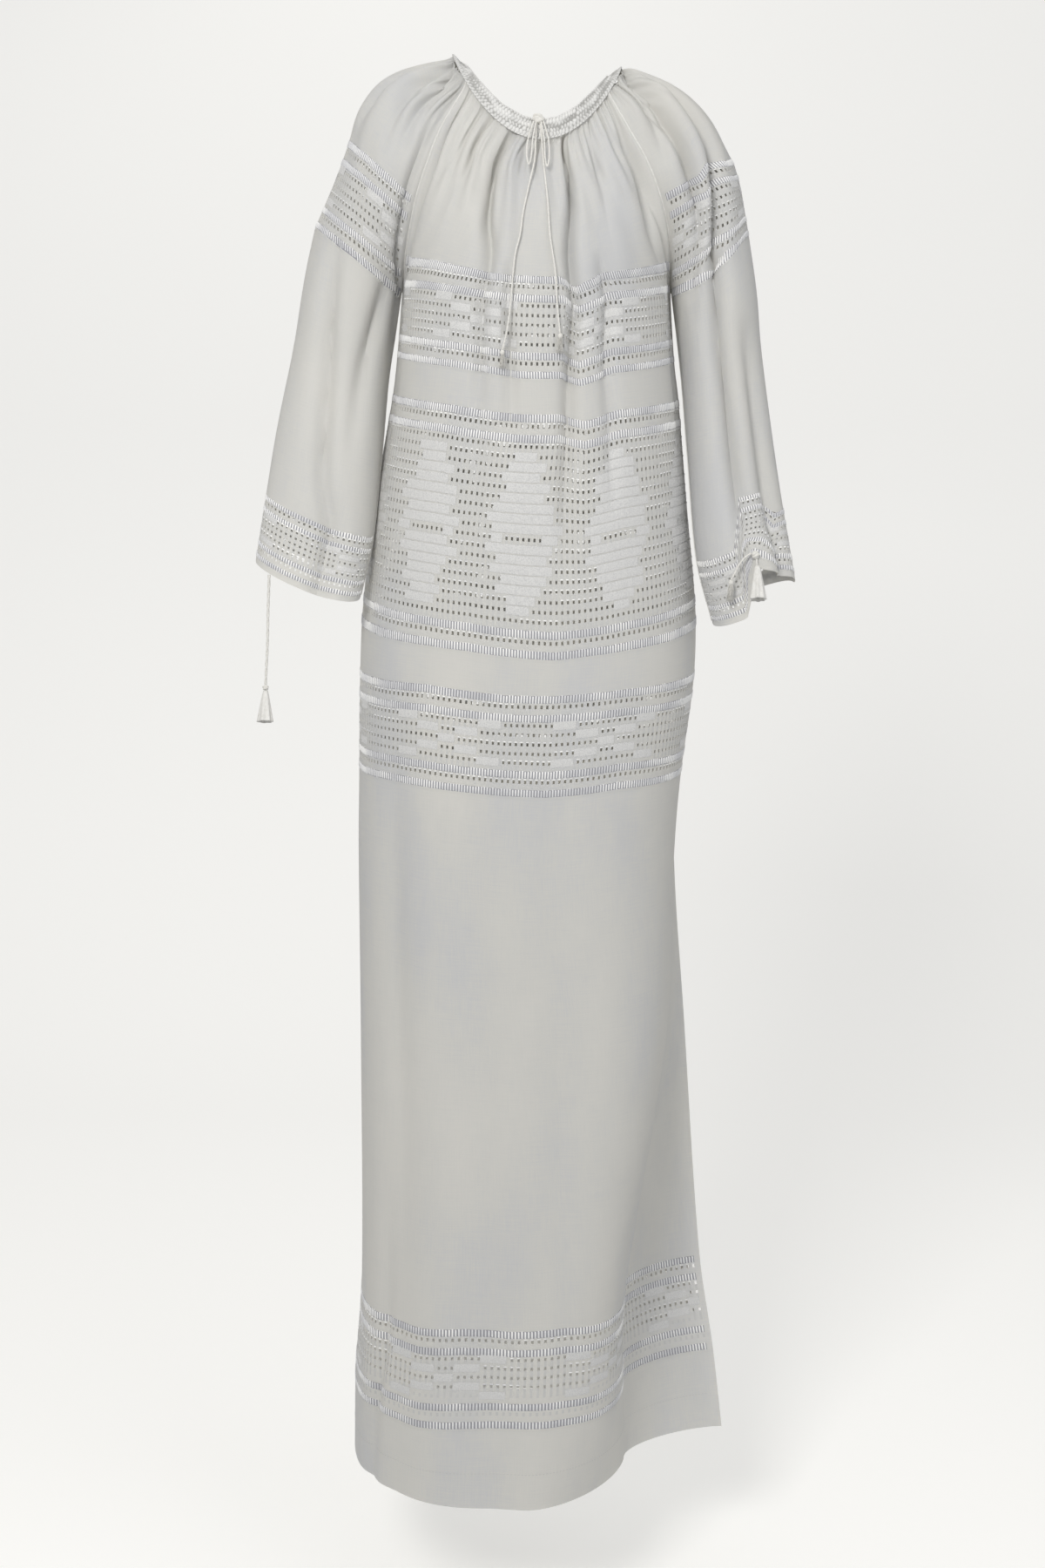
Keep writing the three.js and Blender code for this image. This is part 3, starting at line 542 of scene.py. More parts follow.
def panel_rows(levels, front, count):
    """Rows of the front or the back panel at some levels below the neck, mm."""
    depth = smooth(DEPTH, levels)
    side = smooth(SIDES, levels)
    turn = np.radians(smooth(TURN, levels)[:, 1])
    back, edge, left, right, wide_l, wide_r, fold_x, fold_y, opening = side[:, 1:].T
    x = np.full(len(levels), float(CENTRE_X))
    if front:
        middle = np.stack([x, depth[:, 1], -levels], 1)
        left_end = np.stack([left, wide_l - opening, edge], 1)
        right_end = np.stack([right, wide_r - opening, edge], 1)
        fold = np.stack([fold_x, fold_y, edge], 1)
        a = half_rows(middle, left_end, depth[:, 3], turn)
        b = half_rows(middle, fold, depth[:, 4], turn, right_end)
    else:
        aside = ease(levels, SLIT_LEVEL, SLIT_LEVEL + 200) * SLIT_ASIDE
        middle = np.stack([x, depth[:, 2], back], 1)
        left_end = np.stack([left, wide_l + opening, edge], 1)
        right_end = np.stack([right - aside, wide_r + opening + aside, edge], 1)
        a = half_rows(middle, left_end, depth[:, 5], turn)
        b = half_rows(middle, right_end, depth[:, 5], turn)
    points = np.concatenate([evenly(a, count // 2)[:, ::-1], evenly(b, count // 2)[:, 1:]], 1)
    y = RAGLAN[0, 6 if front else 7]
    start, end = seam_angle(RAGLAN[0, 4], y), seam_angle(RAGLAN[0, 5], y)
    if front and start > 0:
        start -= 2 * math.pi
    return meet_ring(points, start, end, ease(levels, NECK_LEVEL, NECK_LEVEL + 30))


def grid_normals(grid):
    """Normals of a grid of points, from the differences between neighbours."""
    return unit(np.cross(np.gradient(grid, axis=1), np.gradient(grid, axis=0)))


# A fold is rows of level, place across, depth and half width.
FRONT_FOLDS = [
    [(60, 0.03, 3, 4), (100, 0.03, 7, 5), (150, 0.03, 8, 5), (200, 0.03, 8, 5),
     (270, 0.03, 0, 6)],
    [(60, 0.97, 2, 4), (100, 0.97, 4, 5), (150, 0.97, 5, 5), (200, 0.97, 6, 5),
     (270, 0.97, 0, 6)],
    [(60, 0.15, 2, 5), (80, 0.147, 5, 6), (106, 0.135, 5, 7), (128, 0.105, 2, 9),
     (150, 0.09, 0, 10)],
    [(60, 0.22, 2, 5), (80, 0.218, 6, 6), (104, 0.215, 7, 8), (130, 0.188, 4, 10),
     (165, 0.17, 0, 12)],
    [(60, 0.36, 4, 5), (78, 0.352, 12, 6), (94, 0.345, 16, 7), (114, 0.335, 18, 8),
     (136, 0.345, 16, 8), (164, 0.377, 12, 7), (196, 0.388, 9, 7), (268, 0.388, 9, 7),
     (330, 0.39, 4, 9), (420, 0.39, 0, 10)],
    [(170, 0.44, 0, 6), (200, 0.45, 7, 5), (274, 0.462, 8, 6), (330, 0.46, 3, 8),
     (380, 0.46, 0, 8)],
    [(60, 0.45, 2, 4), (72, 0.453, 6, 4), (86, 0.485, 4, 5), (116, 0.49, 0, 6)],
    [(60, 0.505, 2, 4), (75, 0.515, 5, 4), (100, 0.52, 0, 6)],
    [(60, 0.655, 4, 4), (74, 0.655, 12, 5), (90, 0.673, 16, 5), (106, 0.668, 18, 5),
     (140, 0.642, 16, 5), (174, 0.62, 15, 5), (282, 0.592, 14, 6), (396, 0.58, 7, 8),
     (480, 0.575, 0, 10)],
    [(60, 0.75, 2, 5), (82, 0.755, 6, 5), (100, 0.755, 5, 6), (125, 0.75, 0, 8)],
    [(60, 0.82, 2, 4), (86, 0.81, 8, 5), (104, 0.795, 9, 6), (118, 0.78, 8, 7),
     (148, 0.757, 3, 9), (180, 0.74, 0, 10)],
    [(60, 0.89, 2, 5), (102, 0.892, 5, 7), (130, 0.88, 3, 8), (158, 0.865, 0, 10)],
    [(80, 0.96, 0, 7), (110, 0.955, 9, 8), (130, 0.955, 14, 9), (152, 0.938, 15, 10),
     (172, 0.905, 8, 11), (200, 0.90, 0, 12)],
    [(170, 0.70, 0, 6), (200, 0.692, 8, 6), (254, 0.678, 8, 6), (336, 0.68, 6, 7),
     (420, 0.68, 0, 9)],
    [(180, 0.06, 0, 6), (220, 0.06, 6, 7), (300, 0.08, 5, 8), (400, 0.09, 0, 9)],
    [(180, 0.93, 0, 6), (230, 0.93, 6, 7), (300, 0.92, 5, 8), (400, 0.90, 0, 9)],
    [(600, 0.235, 0, 20), (760, 0.228, 7, 22), (1120, 0.265, 7, 26), (1428, 0.25, 4, 28)],
    [(640, 0.40, 0, 24), (900, 0.42, 4, 26), (1428, 0.44, 4, 30)],
    [(640, 0.55, 0, 24), (1000, 0.56, 6, 26), (1300, 0.57, 3, 26), (1428, 0.57, 0, 28)],
    [(1000, 0.22, 0, 14), (1242, 0.225, 6, 10), (1326, 0.203, 7, 10), (1428, 0.18, 5, 12)]]


def folded(grid, folds, levels, facing, columns):
    """The grid with its folds: each is a trough with the profile exp(-|x| ** 1.5)
    across, x being the distance over the half width, both read from its rows."""
    out = grid_normals(grid)
    across = np.linspace(0, 1, grid.shape[1])[None]
    length = np.linalg.norm(np.diff(grid, axis=1), axis=2).sum(1)[:, None]
    depth = np.zeros(grid.shape[:2])
    for fold in folds:
        place, deep, half = smooth(fold, levels)[:, 1:].T
        deep = np.where((levels >= fold[0][0]) & (levels <= fold[-1][0]), deep, 0)
        away = np.abs(across - place[:, None]) * length / half[:, None]
        depth += deep[:, None] * np.exp(-away**1.5)
    margin = ease(np.minimum(across, 1 - across) * columns, 0, 1.2)
    return grid - facing * (depth * margin)[..., None] * out


def gathers(grid, levels, facing, counts, seed):
    """Fine pleats under the neck: waves across the row, each set with its own
    count, depth and foot level, its phase and depth drifting from pleat to pleat."""
    draw = np.random.default_rng(seed)
    out = grid_normals(grid)
    across = np.linspace(0, 1, grid.shape[1])
    total = np.zeros(grid.shape[:2])
    for count, deep, fade_in, foot in counts:
        knots = np.linspace(0, 1, count // 2 + 3)
        drift = np.interp(across, knots, draw.uniform(-1, 1, len(knots)))
        strong = np.interp(across, knots, draw.uniform(0.35, 1, len(knots)))
        reach = np.interp(across, knots, draw.uniform(0.55, 1, len(knots)))
        end = levels[0] + (foot - levels[0]) * reach
        fade = 1 - ease((levels[:, None] - levels[0]) / (end - levels[0])[None], 0.25, 1)
        rise = 0.35 + 0.65 * ease(levels, levels[0], levels[0] + fade_in)[:, None]
        wave = np.cos(2 * math.pi * count * across + 2.2 * drift)
        total += deep * rise * fade * (wave * strong)[None]
    margin = ease(np.minimum(across, 1 - across), 0, 0.03)[None]
    return grid + facing * (total * margin)[..., None] * out


class Surface:
    """A piece of cloth as a map: rows of evenly spaced points at known levels.
    at(level, across, lift) gives points on it, lifted along its normal. A table
    of offsets slides its weft along the cloth, so that a band sits higher or
    lower from fold to fold: places across in its first row, then one row for a
    level, with the level first."""

    def __init__(self, grid, levels, facing, count=700, offsets=None):
        self.levels = levels
        self.grid = evenly(grid, count)
        if offsets is not None:
            across = np.linspace(0, 1, count + 1)
            read = [np.interp(across, offsets[0][1:], row[1:]) for row in offsets[1:]]
            slide = smooth(np.c_[[row[0] for row in offsets[1:]], read], levels)[:, 1:]
            r = np.interp(levels[:, None] + slide, levels, np.arange(len(levels)))
            i = np.minimum(r.astype(int), len(levels) - 2)
            j = np.arange(count + 1)[None]
            t = (r - i)[..., None]
            self.grid = self.grid[i, j] * (1 - t) + self.grid[i + 1, j] * t
        self.out = facing * grid_normals(self.grid)
        self.count = count

    def at(self, level, across, lift=0.0):
        level, across, lift = np.broadcast_arrays(level, across, lift)
        r = np.interp(level, self.levels, np.arange(len(self.levels)))
        c = np.clip(across, 0, 1) * self.count
        i = np.minimum(r.astype(int), len(self.levels) - 2)
        j = np.minimum(c.astype(int), self.count - 1)
        u, v = (r - i)[..., None], (c - j)[..., None]

        def blend(a):
            top = a[i, j] * (1 - v) + a[i, j + 1] * v
            low = a[i + 1, j] * (1 - v) + a[i + 1, j + 1] * v
            return top * (1 - u) + low * u
        return blend(self.grid) + lift[..., None] * unit(blend(self.out))


levels = np.r_[
    np.arange(NECK_LEVEL, YOKE_FOOT, 2.5), np.arange(YOKE_FOOT, HEM_LEVEL, 6.0), HEM_LEVEL]
# count, depth, rise, foot of each set of gathers
NECK_GATHERS = [(58, 0.7, 3, 100), (30, 1.7, 8, 132), (16, 2.2, 25, 195), (9, 1.3, 50, 330)]
base = folded(panel_rows(levels, True, 600), FRONT_FOLDS, levels, -1, 54)
base = gathers(base, levels, -1, NECK_GATHERS, 11)
FRONT_OFFSETS = [
    (0, 0.1, 0.2, 0.3, 0.38, 0.46, 0.55, 0.615, 0.70, 0.80, 0.9),
    (60, 0, 0, 0, 0, 0, 0, 0, 0, 0, 0), (188, -2, -5, -6, -5, -4, -2, 8, -1, 1, 2),
    (279, -4, -5, -6, -4, 0, 1, 9, 0, 1, 1), (314, -4, -6, -8, -6, -4, -3, 5, -2, 0, 2),
    (543, 4, 2, -3, -5, -3, 1, 0, 1, 4, 5), (575, -1, -2, -5, -3, 0, 1, 0, -1, 0, 0),
    (674, -7, -7, -5, -2, 1, 3, 1, -3, -3, -3), (1229, 5, 5, 4, -1, 1, -1, 1, 1, 1, 1),
    (1341, 5, 5, 5, 0, -2, -2, -1, 0, 0, 0), (1428, 0, 0, 0, 0, 0, 0, 0, 0, 0, 0)]
front = Surface(base, levels, -1, offsets=FRONT_OFFSETS)

# ---- Openwork and cloth of the front ----
# Bands of drawn-thread work are woven into the length: warp threads bound in
# columns with slots between them, rows of bright satin bars, and filled blocks
# that make stepped diamonds in the deep band and chains in the narrow ones.

CELLS = 88                # columns of the openwork across the front or the back
STRIP = 0.62              # part of a column that is cloth, the rest is the slot
CLOTH_WIDE = 0.46         # metres of weave across a piece
# Rows of a band: S satin bars, O open slots, L lattice with filled blocks; G and M
# are O and L whose slots are closed by grey faces, painted shade of the dress's inside
# seen through them. Each has the part of it above its bound threads.
SLOT = {"S": 0.76, "O": 0.38, "L": 0.34, "G": 0.38, "M": 0.34}
NARROW = "SOSLLLLLSOS"
DEEP = "SOS" + "L" * 18 + "SOS"
HEM = "SOSLLLLMSGS"
BANDS = [(188, 279, NARROW), (314, 543, DEEP), (575, 674, NARROW), (1229, 1341, HEM)]


def away_from(column, centre, period):
    """Columns from the nearest of the centres that repeat at a period."""
    return np.abs((column - centre + period / 2) % period - period / 2)


def crosses(row, column, rows):
    """Filled blocks of a narrow band: blocks four columns wide stand 0, 3.6 or 7.2
    columns from a centre in the five rows, as diagonal crosses in a chain."""
    away = away_from(column, 30, 28)
    reach = np.array([7.2, 3.6, 0, 3.6, 7.2])[np.clip(row, 0, 4)]
    return np.abs(away - reach) <= 1.9


def diamonds(row, column, rows):
    """Filled blocks of the deep band: large diamonds with stepped sides, cut
    across the middle by one open row."""
    away = away_from(column, 42, 18)
    down = np.abs(row - (rows - 1) / 2)
    ragged = 0.9 * np.sin(2.1 * row + 1.3 * column)
    inside = (away + ragged <= 6.2 - 0.8 * np.floor(down / 1.4)) & (down < 8.4)
    return inside & ((row != rows // 2) | (away > 3))


def grid_faces(rows, columns):
    """Quads of a grid of points, row by row."""
    r, c = np.meshgrid(np.arange(rows - 1), np.arange(columns - 1), indexing="ij")
    a = (r * columns + c).ravel()
    return np.stack([a, a + columns, a + columns + 1, a + 1], -1)


def plain_cloth(surface, start, end, columns, spacing, step):
    """A plain stretch of a piece between two levels, as points, faces and uv."""
    edges = np.linspace(start, end, max(int(round((end - start) / spacing)), 1) + 1)
    across = np.linspace(0, 1, columns + 1)
    points = surface.at(edges[:, None], across[None]).reshape(-1, 3) * MM
    uv = np.stack(np.broadcast_arrays(across[None] * CLOTH_WIDE, edges[:, None] * MM / step), -1)
    return points, grid_faces(len(edges), columns + 1), uv.reshape(-1, 2)


def openwork(surface, start, end, pattern, cells, filled, step):
    """A band of openwork with its slots cut out, as points, faces, uv and a mark on
    the faces in the grey see-through finish (thin bound cloth under lattice slots, and
    painted shade in the closed slots of G and M rows), and the levels, letters, slots
    and filled blocks in it."""
    pitch = (end - start) / len(pattern)
    edges = start + pitch * (np.arange(len(pattern))[:, None]
                             + np.array([[0, SLOT[letter]] for letter in pattern]))
    edges = np.r_[edges.ravel(), end]
    letter = np.array([mark for each in pattern for mark in (each, "b")])
    lattice = np.repeat(np.cumsum([each in "LM" for each in pattern]) - 1, 2)
    column = np.arange(cells)
    across = np.r_[(column[:, None] + np.array([0, STRIP])).ravel(), cells] / cells
    inner = (column > 0) & (column < cells - 1)
    laced = np.isin(letter, ("L", "M"))[:, None]
    block = laced & filled(lattice[:, None], column[None], lattice[-1] + 1) & inner
    slot = np.isin(letter, ("O", "L"))[:, None] & inner & ~block
    points = surface.at(edges[:, None], across[None], np.zeros((1, 1)))
    faces = grid_faces(len(edges), len(across))
    open_here = np.zeros((len(letter), 2 * cells), bool)
    open_here[:, 1::2] = slot
    below = np.zeros_like(slot)
    below[1:] = slot[:-1]
    # Faces in the grey see-through finish: thin bound cloth in the row under a lattice slot, and
    # the uncut slots of G and M rows, whose grey is painted shade of the dress's inside.
    gauze_and_shade_faces = np.zeros((len(letter), 2 * cells), bool)
    kept = np.isin(letter, ("G", "M"))[:, None] & inner & ~block
    gauze_and_shade_faces[:, 1::2] = below & np.roll(letter == "L", 1)[:, None] | kept
    faces, gauze_and_shade_faces = faces[~open_here.ravel()], gauze_and_shade_faces.ravel()[~open_here.ravel()]
    uv = np.stack(np.broadcast_arrays(across[None] * CLOTH_WIDE, edges[:, None] * MM / step), -1)
    used = np.unique(faces)
    renumber = np.zeros(points.shape[0] * points.shape[1], int)
    renumber[used] = np.arange(len(used))
    mesh = points.reshape(-1, 3)[used] * MM, renumber[faces], uv.reshape(-1, 2)[used], gauze_and_shade_faces
    return mesh, edges, letter, slot, block


def patches(surface, level_a, level_b, across_a, across_b, rise, sink=-0.1):
    """Small pillows on the cloth, one for each entry of the arrays: a 4 by 4 grid
    between two levels and two places across, whose middle is lifted by rise."""
    u = np.array([0, 0.25, 0.75, 1])
    v = np.array([0, 0.15, 0.85, 1])
    level = level_a[:, None, None] + (level_b - level_a)[:, None, None] * v[None, :, None]
    across = across_a[:, None, None] + (across_b - across_a)[:, None, None] * u[None, None, :]
    high = np.array([0, 1, 1, 0])[None, :, None] * np.array([0, 1, 1, 0])[None, None, :]
    points = surface.at(level, across, sink + (rise - sink) * high)
    faces = (grid_faces(4, 4)[None] + 16 * np.arange(len(level_a))[:, None, None]).reshape(-1, 4)
    return points.reshape(-1, 3) * MM, faces


def strips(surface, level_a, level_b, across_a, across_b, lift):
    """Flat quads on the cloth, one for each entry of the arrays."""
    level = np.stack([level_a, level_b, level_b, level_a], -1)
    across = np.stack([across_a, across_a, across_b, across_b], -1)
    points = surface.at(level, across, lift)
    return points.reshape(-1, 3) * MM, np.arange(4 * len(level_a)).reshape(-1, 4)


def trimming(surface, cells, edges, letter, slot, block, step, draw):
    """Satin bars, two to a column with uneven ends, and a dark strip of painted shade
    in the groove between them; beads of thread above the slots, in some runs of seven
    columns; and the pillows of filled blocks, a fine gap between their rows."""
    rows = np.flatnonzero(letter == "S")
    half = np.arange(2, 2 * cells - 2)
    r, h = [g.ravel() for g in np.meshgrid(rows, half, indexing="ij")]
    uneven = draw.uniform(-0.35, 0.35, (2, len(r))) * step
    bars = patches(surface, edges[r] + uneven[0], edges[r + 1] + 0.5 * step + uneven[1],
                   (h + 0.2) / (2 * cells), (h + 0.8) / (2 * cells), 0.62)
    # A dark strip in each groove between the bars: painted shade.
    groove_shade = strips(surface, edges[r] + 0.3 * step, edges[r + 1] + 0.2 * step,
                     h / (2 * cells), (h + 1) / (2 * cells), 0.12)
    runs_on = np.repeat(draw.random((len(letter), cells // 7 + 2)), 7, axis=1)[:, :cells] < 0.45
    r, c = np.nonzero(slot & runs_on)
    beads = patches(surface, edges[r] - 1.2 * step, edges[r] + 0.1 * step,
                    (c + STRIP - 0.10) / cells, (c + 1.06) / cells, 0.5)
    r, c = np.nonzero(block)
    gap = 0.4 * (edges[r + 2] - edges[r + 1])
    fills = patches(surface, edges[r] - gap, edges[r + 1] + gap,
                    c / cells, (c + 1) / cells, 0.24, sink=0.12)
    return bars, groove_shade, beads, fills


woven = Finish("woven_cotton", {"Roughness": 0.82, "Sheen Weight": 0.1, "Sheen Roughness": 0.35})
uv = woven.node("UVMap", {"uv_map": "cloth"})
u = woven.node("SeparateXYZ", values={"Vector": uv}, out=0)
v = Value(woven.tree, u.socket.node.outputs[1])
tone = woven.noise(woven.node("TexCoord", out=3), 11.0, 3.0, (1.0, 1.0, 0.3))
slub = woven.noise(uv, 1.0, 2.0, (900.0, 40.0, 1.0))
pick = woven.noise(uv, 1.0, 2.0, (40.0, 900.0, 1.0))
crinkle = woven.noise(uv, 1.0, 4.0, (120.0, 9.0, 1.0))
THREAD = 0.0007           # metres from one thread of the weave to the next
warp = (u * (2 * math.pi / THREAD)).sine()
weft = (v * (2 * math.pi / THREAD)).sine()
height = warp * 0.16 + weft * 0.16 + slub * 0.5 + pick * 0.5 + crinkle * 1.2
shade = tone * 0.6 + slub * 0.2 + pick * 0.2
woven.coloured(
    shade, (0.38, (0.77, 0.777, 0.795)), (0.50, (0.84, 0.835, 0.81)), (0.62, (0.88, 0.868, 0.835)))
woven.feed("Roughness", 0.74 + slub * 0.16)
woven.bumped(height, 0.45, 0.0006)
woven.lit_through((0.84, 0.825, 0.78, 1), 0.34)

satin = Finish(
    "satin_thread", {"Roughness": 0.38, "Sheen Weight": 0.15, "Specular IOR Level": 0.6})
place = satin.node("TexCoord", out=3)
# Painted sheen in the satin's colour: broad patches from lavender grey to near white, as if the
# bars caught the light at different angles, and fine flecks of painted highlight, which also vary
# the roughness.
glint_paint_and_gloss = satin.noise(place, 420.0, 2.0)
thread = satin.noise(place, 1.0, 2.0, (2600.0, 2600.0, 120.0))
painted_sheen = satin.noise(place, 26.0, 1.0)
satin.coloured(
    painted_sheen * 0.6 + glint_paint_and_gloss * 0.2 + thread * 0.2,
    (0.38, (0.66, 0.661, 0.676)), (0.48, (0.80, 0.80, 0.805)), (0.57, (0.97, 0.965, 0.945)))
satin.feed("Roughness", 0.28 + glint_paint_and_gloss * 0.24)
satin.bumped(thread, 0.5, 0.0004)

# Dark grey for the strip in each groove between satin bars: painted shade, not a thread colour.
shaded = Finish("groove_painted_shade", {"Roughness": 0.8, "Base Color": (0.32, 0.32, 0.345, 1)})

filling = Finish("filled_weave", {"Roughness": 0.6, "Sheen Weight": 0.2, "Sheen Roughness": 0.4})
pebble = filling.noise(filling.node("TexCoord", out=3), 1100.0, 3.0)
filling.coloured(pebble, (0.34, (0.56, 0.56, 0.56)), (0.58, (0.71, 0.705, 0.69)))
filling.bumped(pebble, 0.6, 0.0005)

# Grey see-through finish: thin bound threads, and in the closed slots painted shade of the dress's
# inside; the hem stitches use it too.
gauze_and_slot_shade = Finish("bound_gauze_and_slot_shade", {"Roughness": 0.85, "Base Color": (0.77, 0.768, 0.75, 1)})
gauze_and_slot_shade.lit_through((0.6, 0.6, 0.6, 1), 0.3)

CLOTH = 0.0008            # thickness of the cotton, metres


def give_wall(piece):
    """Thickness for the cloth, inwards, with crisp cut edges."""
    wall = piece.modifiers.new("wall", "SOLIDIFY")
    wall.thickness = CLOTH
    wall.offset = -1
    crisp = piece.modifiers.new("crisp", "EDGE_SPLIT")
    crisp.split_angle = math.radians(60)


def garment_piece(
        name, surface, bands, cells, top, foot, filled, node, step=1.0, flip=False):
    """Cloth, satin bars, painted groove shade, beads and filled blocks of one sewn piece,
    from its top to its foot. step is one millimetre of a front in the piece's levels."""
    draw = np.random.default_rng(len(name) + cells)
    turn = (lambda f: f[:, ::-1]) if flip else (lambda f: f)
    meshes, parts, start = [], {"bars": [], "groove_shade": [], "beads": [], "fills": []}, top
    for low, high, pattern in bands + [(foot, foot, "")]:
        if low > start:
            # The gathered stretch under the neck has a finer grid than the rest.
            finer, spacing = (4, 3.5) if start == top else (1, 11)
            stretch = plain_cloth(surface, start, low, finer * cells, spacing * step, step)
            meshes.append((*stretch, np.zeros(len(stretch[1]), bool)))
        if pattern:
            mesh, *places = openwork(surface, low, high, pattern, cells, filled, step)
            meshes.append(mesh)
            for part, shape in zip(parts, trimming(surface, cells, *places, step, draw)):
                parts[part].append(shape)
        start = high
    points, faces = joined([mesh[:2] for mesh in meshes])
    uv_pairs = np.concatenate([mesh[2] for mesh in meshes])
    piece = make(name, points, turn(np.array(faces)), woven, uv_pairs)
    piece.data.materials.append(gauze_and_slot_shade.material)
    # Marked faces take the grey see-through finish, painted shade in the closed slots.
    gauze_and_shade_faces = np.concatenate([mesh[3] for mesh in meshes]).astype(np.int32)
    piece.data.polygons.foreach_set("material_index", gauze_and_shade_faces)
    give_wall(piece)
    for part, finish in (
            ("bars", satin), ("groove_shade", shaded), ("beads", satin), ("fills", filling)):
        points, faces = joined(parts[part])
        make(name + "_" + part, points, turn(np.array(faces)), finish)
    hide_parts(node)
    return piece


def both_patterns(row, column, rows):
    """The deep band has diamonds, a band of five rows has crosses."""
    return np.where(rows > 5, diamonds(row, column, rows), crosses(row, column, rows))


garment_piece("front_cloth", front, BANDS, CELLS, NECK_LEVEL + 1, HEM_LEVEL, both_patterns,
              "front_panel")

# ---- Back panel ----
# The same length of cloth as the front, with the same bands, a little fuller. It is
# sewn to the front down the sides, and to the sleeves along the raglan lines.

BACK_FOLDS = [
    [(60, 0.10, 2, 5), (90, 0.11, 7, 7), (140, 0.10, 6, 9), (200, 0.09, 0, 10)],
    [(60, 0.19, 2, 5), (85, 0.19, 8, 6), (130, 0.18, 9, 8), (220, 0.17, 6, 9),
     (380, 0.16, 0, 10)],
    [(60, 0.30, 2, 4), (80, 0.30, 6, 5), (115, 0.29, 4, 7), (160, 0.29, 0, 8)],
    [(60, 0.38, 3, 5), (90, 0.38, 11, 6), (180, 0.375, 11, 7), (340, 0.37, 7, 8),
     (560, 0.36, 0, 10)],
    [(60, 0.48, 2, 4), (85, 0.475, 7, 5), (130, 0.47, 4, 7), (200, 0.46, 0, 8)],
    [(60, 0.58, 3, 5), (90, 0.585, 10, 6), (170, 0.59, 10, 7), (300, 0.59, 5, 8),
     (420, 0.60, 0, 10)],
    [(60, 0.68, 2, 4), (90, 0.68, 6, 6), (150, 0.68, 0, 8)],
    [(60, 0.78, 2, 5), (90, 0.78, 8, 6), (160, 0.79, 9, 8), (300, 0.79, 5, 9),
     (460, 0.80, 0, 10)],
    [(60, 0.89, 2, 5), (100, 0.89, 6, 8), (180, 0.90, 0, 10)],
    [(640, 0.32, 0, 22), (800, 0.31, 6, 24), (1428, 0.30, 8, 28)],
    [(600, 0.62, 0, 22), (760, 0.63, 7, 24), (1428, 0.64, 8, 28)],
    [(900, 0.15, 0, 20), (1200, 0.15, 5, 22), (1428, 0.14, 6, 24)]]
base = folded(panel_rows(levels, False, 600), BACK_FOLDS, levels, 1, 40)
base = gathers(base, levels, 1, NECK_GATHERS, 12)
back = Surface(base, levels, 1)
garment_piece("back_cloth", back, BANDS, CELLS, NECK_LEVEL + 1, HEM_LEVEL, both_patterns,
              "back_panel", flip=True)

# ---- Sleeves ----
# Straight lengths of the same cloth, gathered into the neck between the front
# and the back. A band runs round the upper arm and another round the cuff.

# at, outX, outY, outZ, open
LEFT_CAP = np.array([
    (0.00, -80, 0, 25.6, 90), (0.14, -114, 4, 18, 96), (0.28, -148, 7, 3, 103),
    (0.42, -169, 9, -23, 111), (0.57, -180, 10, -56, 122), (0.71, -191, 10, -84, 134),
    (0.85, -202, 9, -109, 150), (1.00, -214, 8, -135, 175.5)])
RIGHT_CAP = np.array([
    (0.00, 83, 0, 14.5, 90), (0.14, 115, 4, 9, 96), (0.28, 147, 7, -8, 103),
    (0.42, 172, 9, -34, 111), (0.57, 190, 10, -69, 122), (0.71, 199, 10, -95, 134),
    (0.85, 204, 9, -119, 150), (1.00, 209, 8, -145, 175.5)])
# drop, outX, outY, outZ, inX, inY, inZ, deep, lean
LEFT_ARM = np.array([
    (0, -214, 8, -135, -130.5, 0, -196, 54, 0), (55, -227, 2, -191, -136.5, -4, -236, 53, 0),
    (115, -238, -5, -250, -143, -14, -280, 51, 1), (190, -254, -25, -325, -149, -34, -350, 48, 3),
    (265, -266, -44, -391, -158, -52, -434, 43, 6),
    (322, -276, -58, -447, -170, -66, -488, 38, 9)])
RIGHT_ARM = np.array([
    (0, 209, 8, -145, 133.5, 0, -196, 54, 0), (55, 217, 2, -198, 139, -4, -238, 53, 0),
    (115, 221.5, -5, -250, 144, -14, -285, 51, 1), (190, 232, -25, -333, 150, -34, -364, 48, 2),
    (265, 242, -44, -402, 158, -50, -452, 45, 3), (330, 254, -58, -474, 174, -62, -514, 42, 5)])
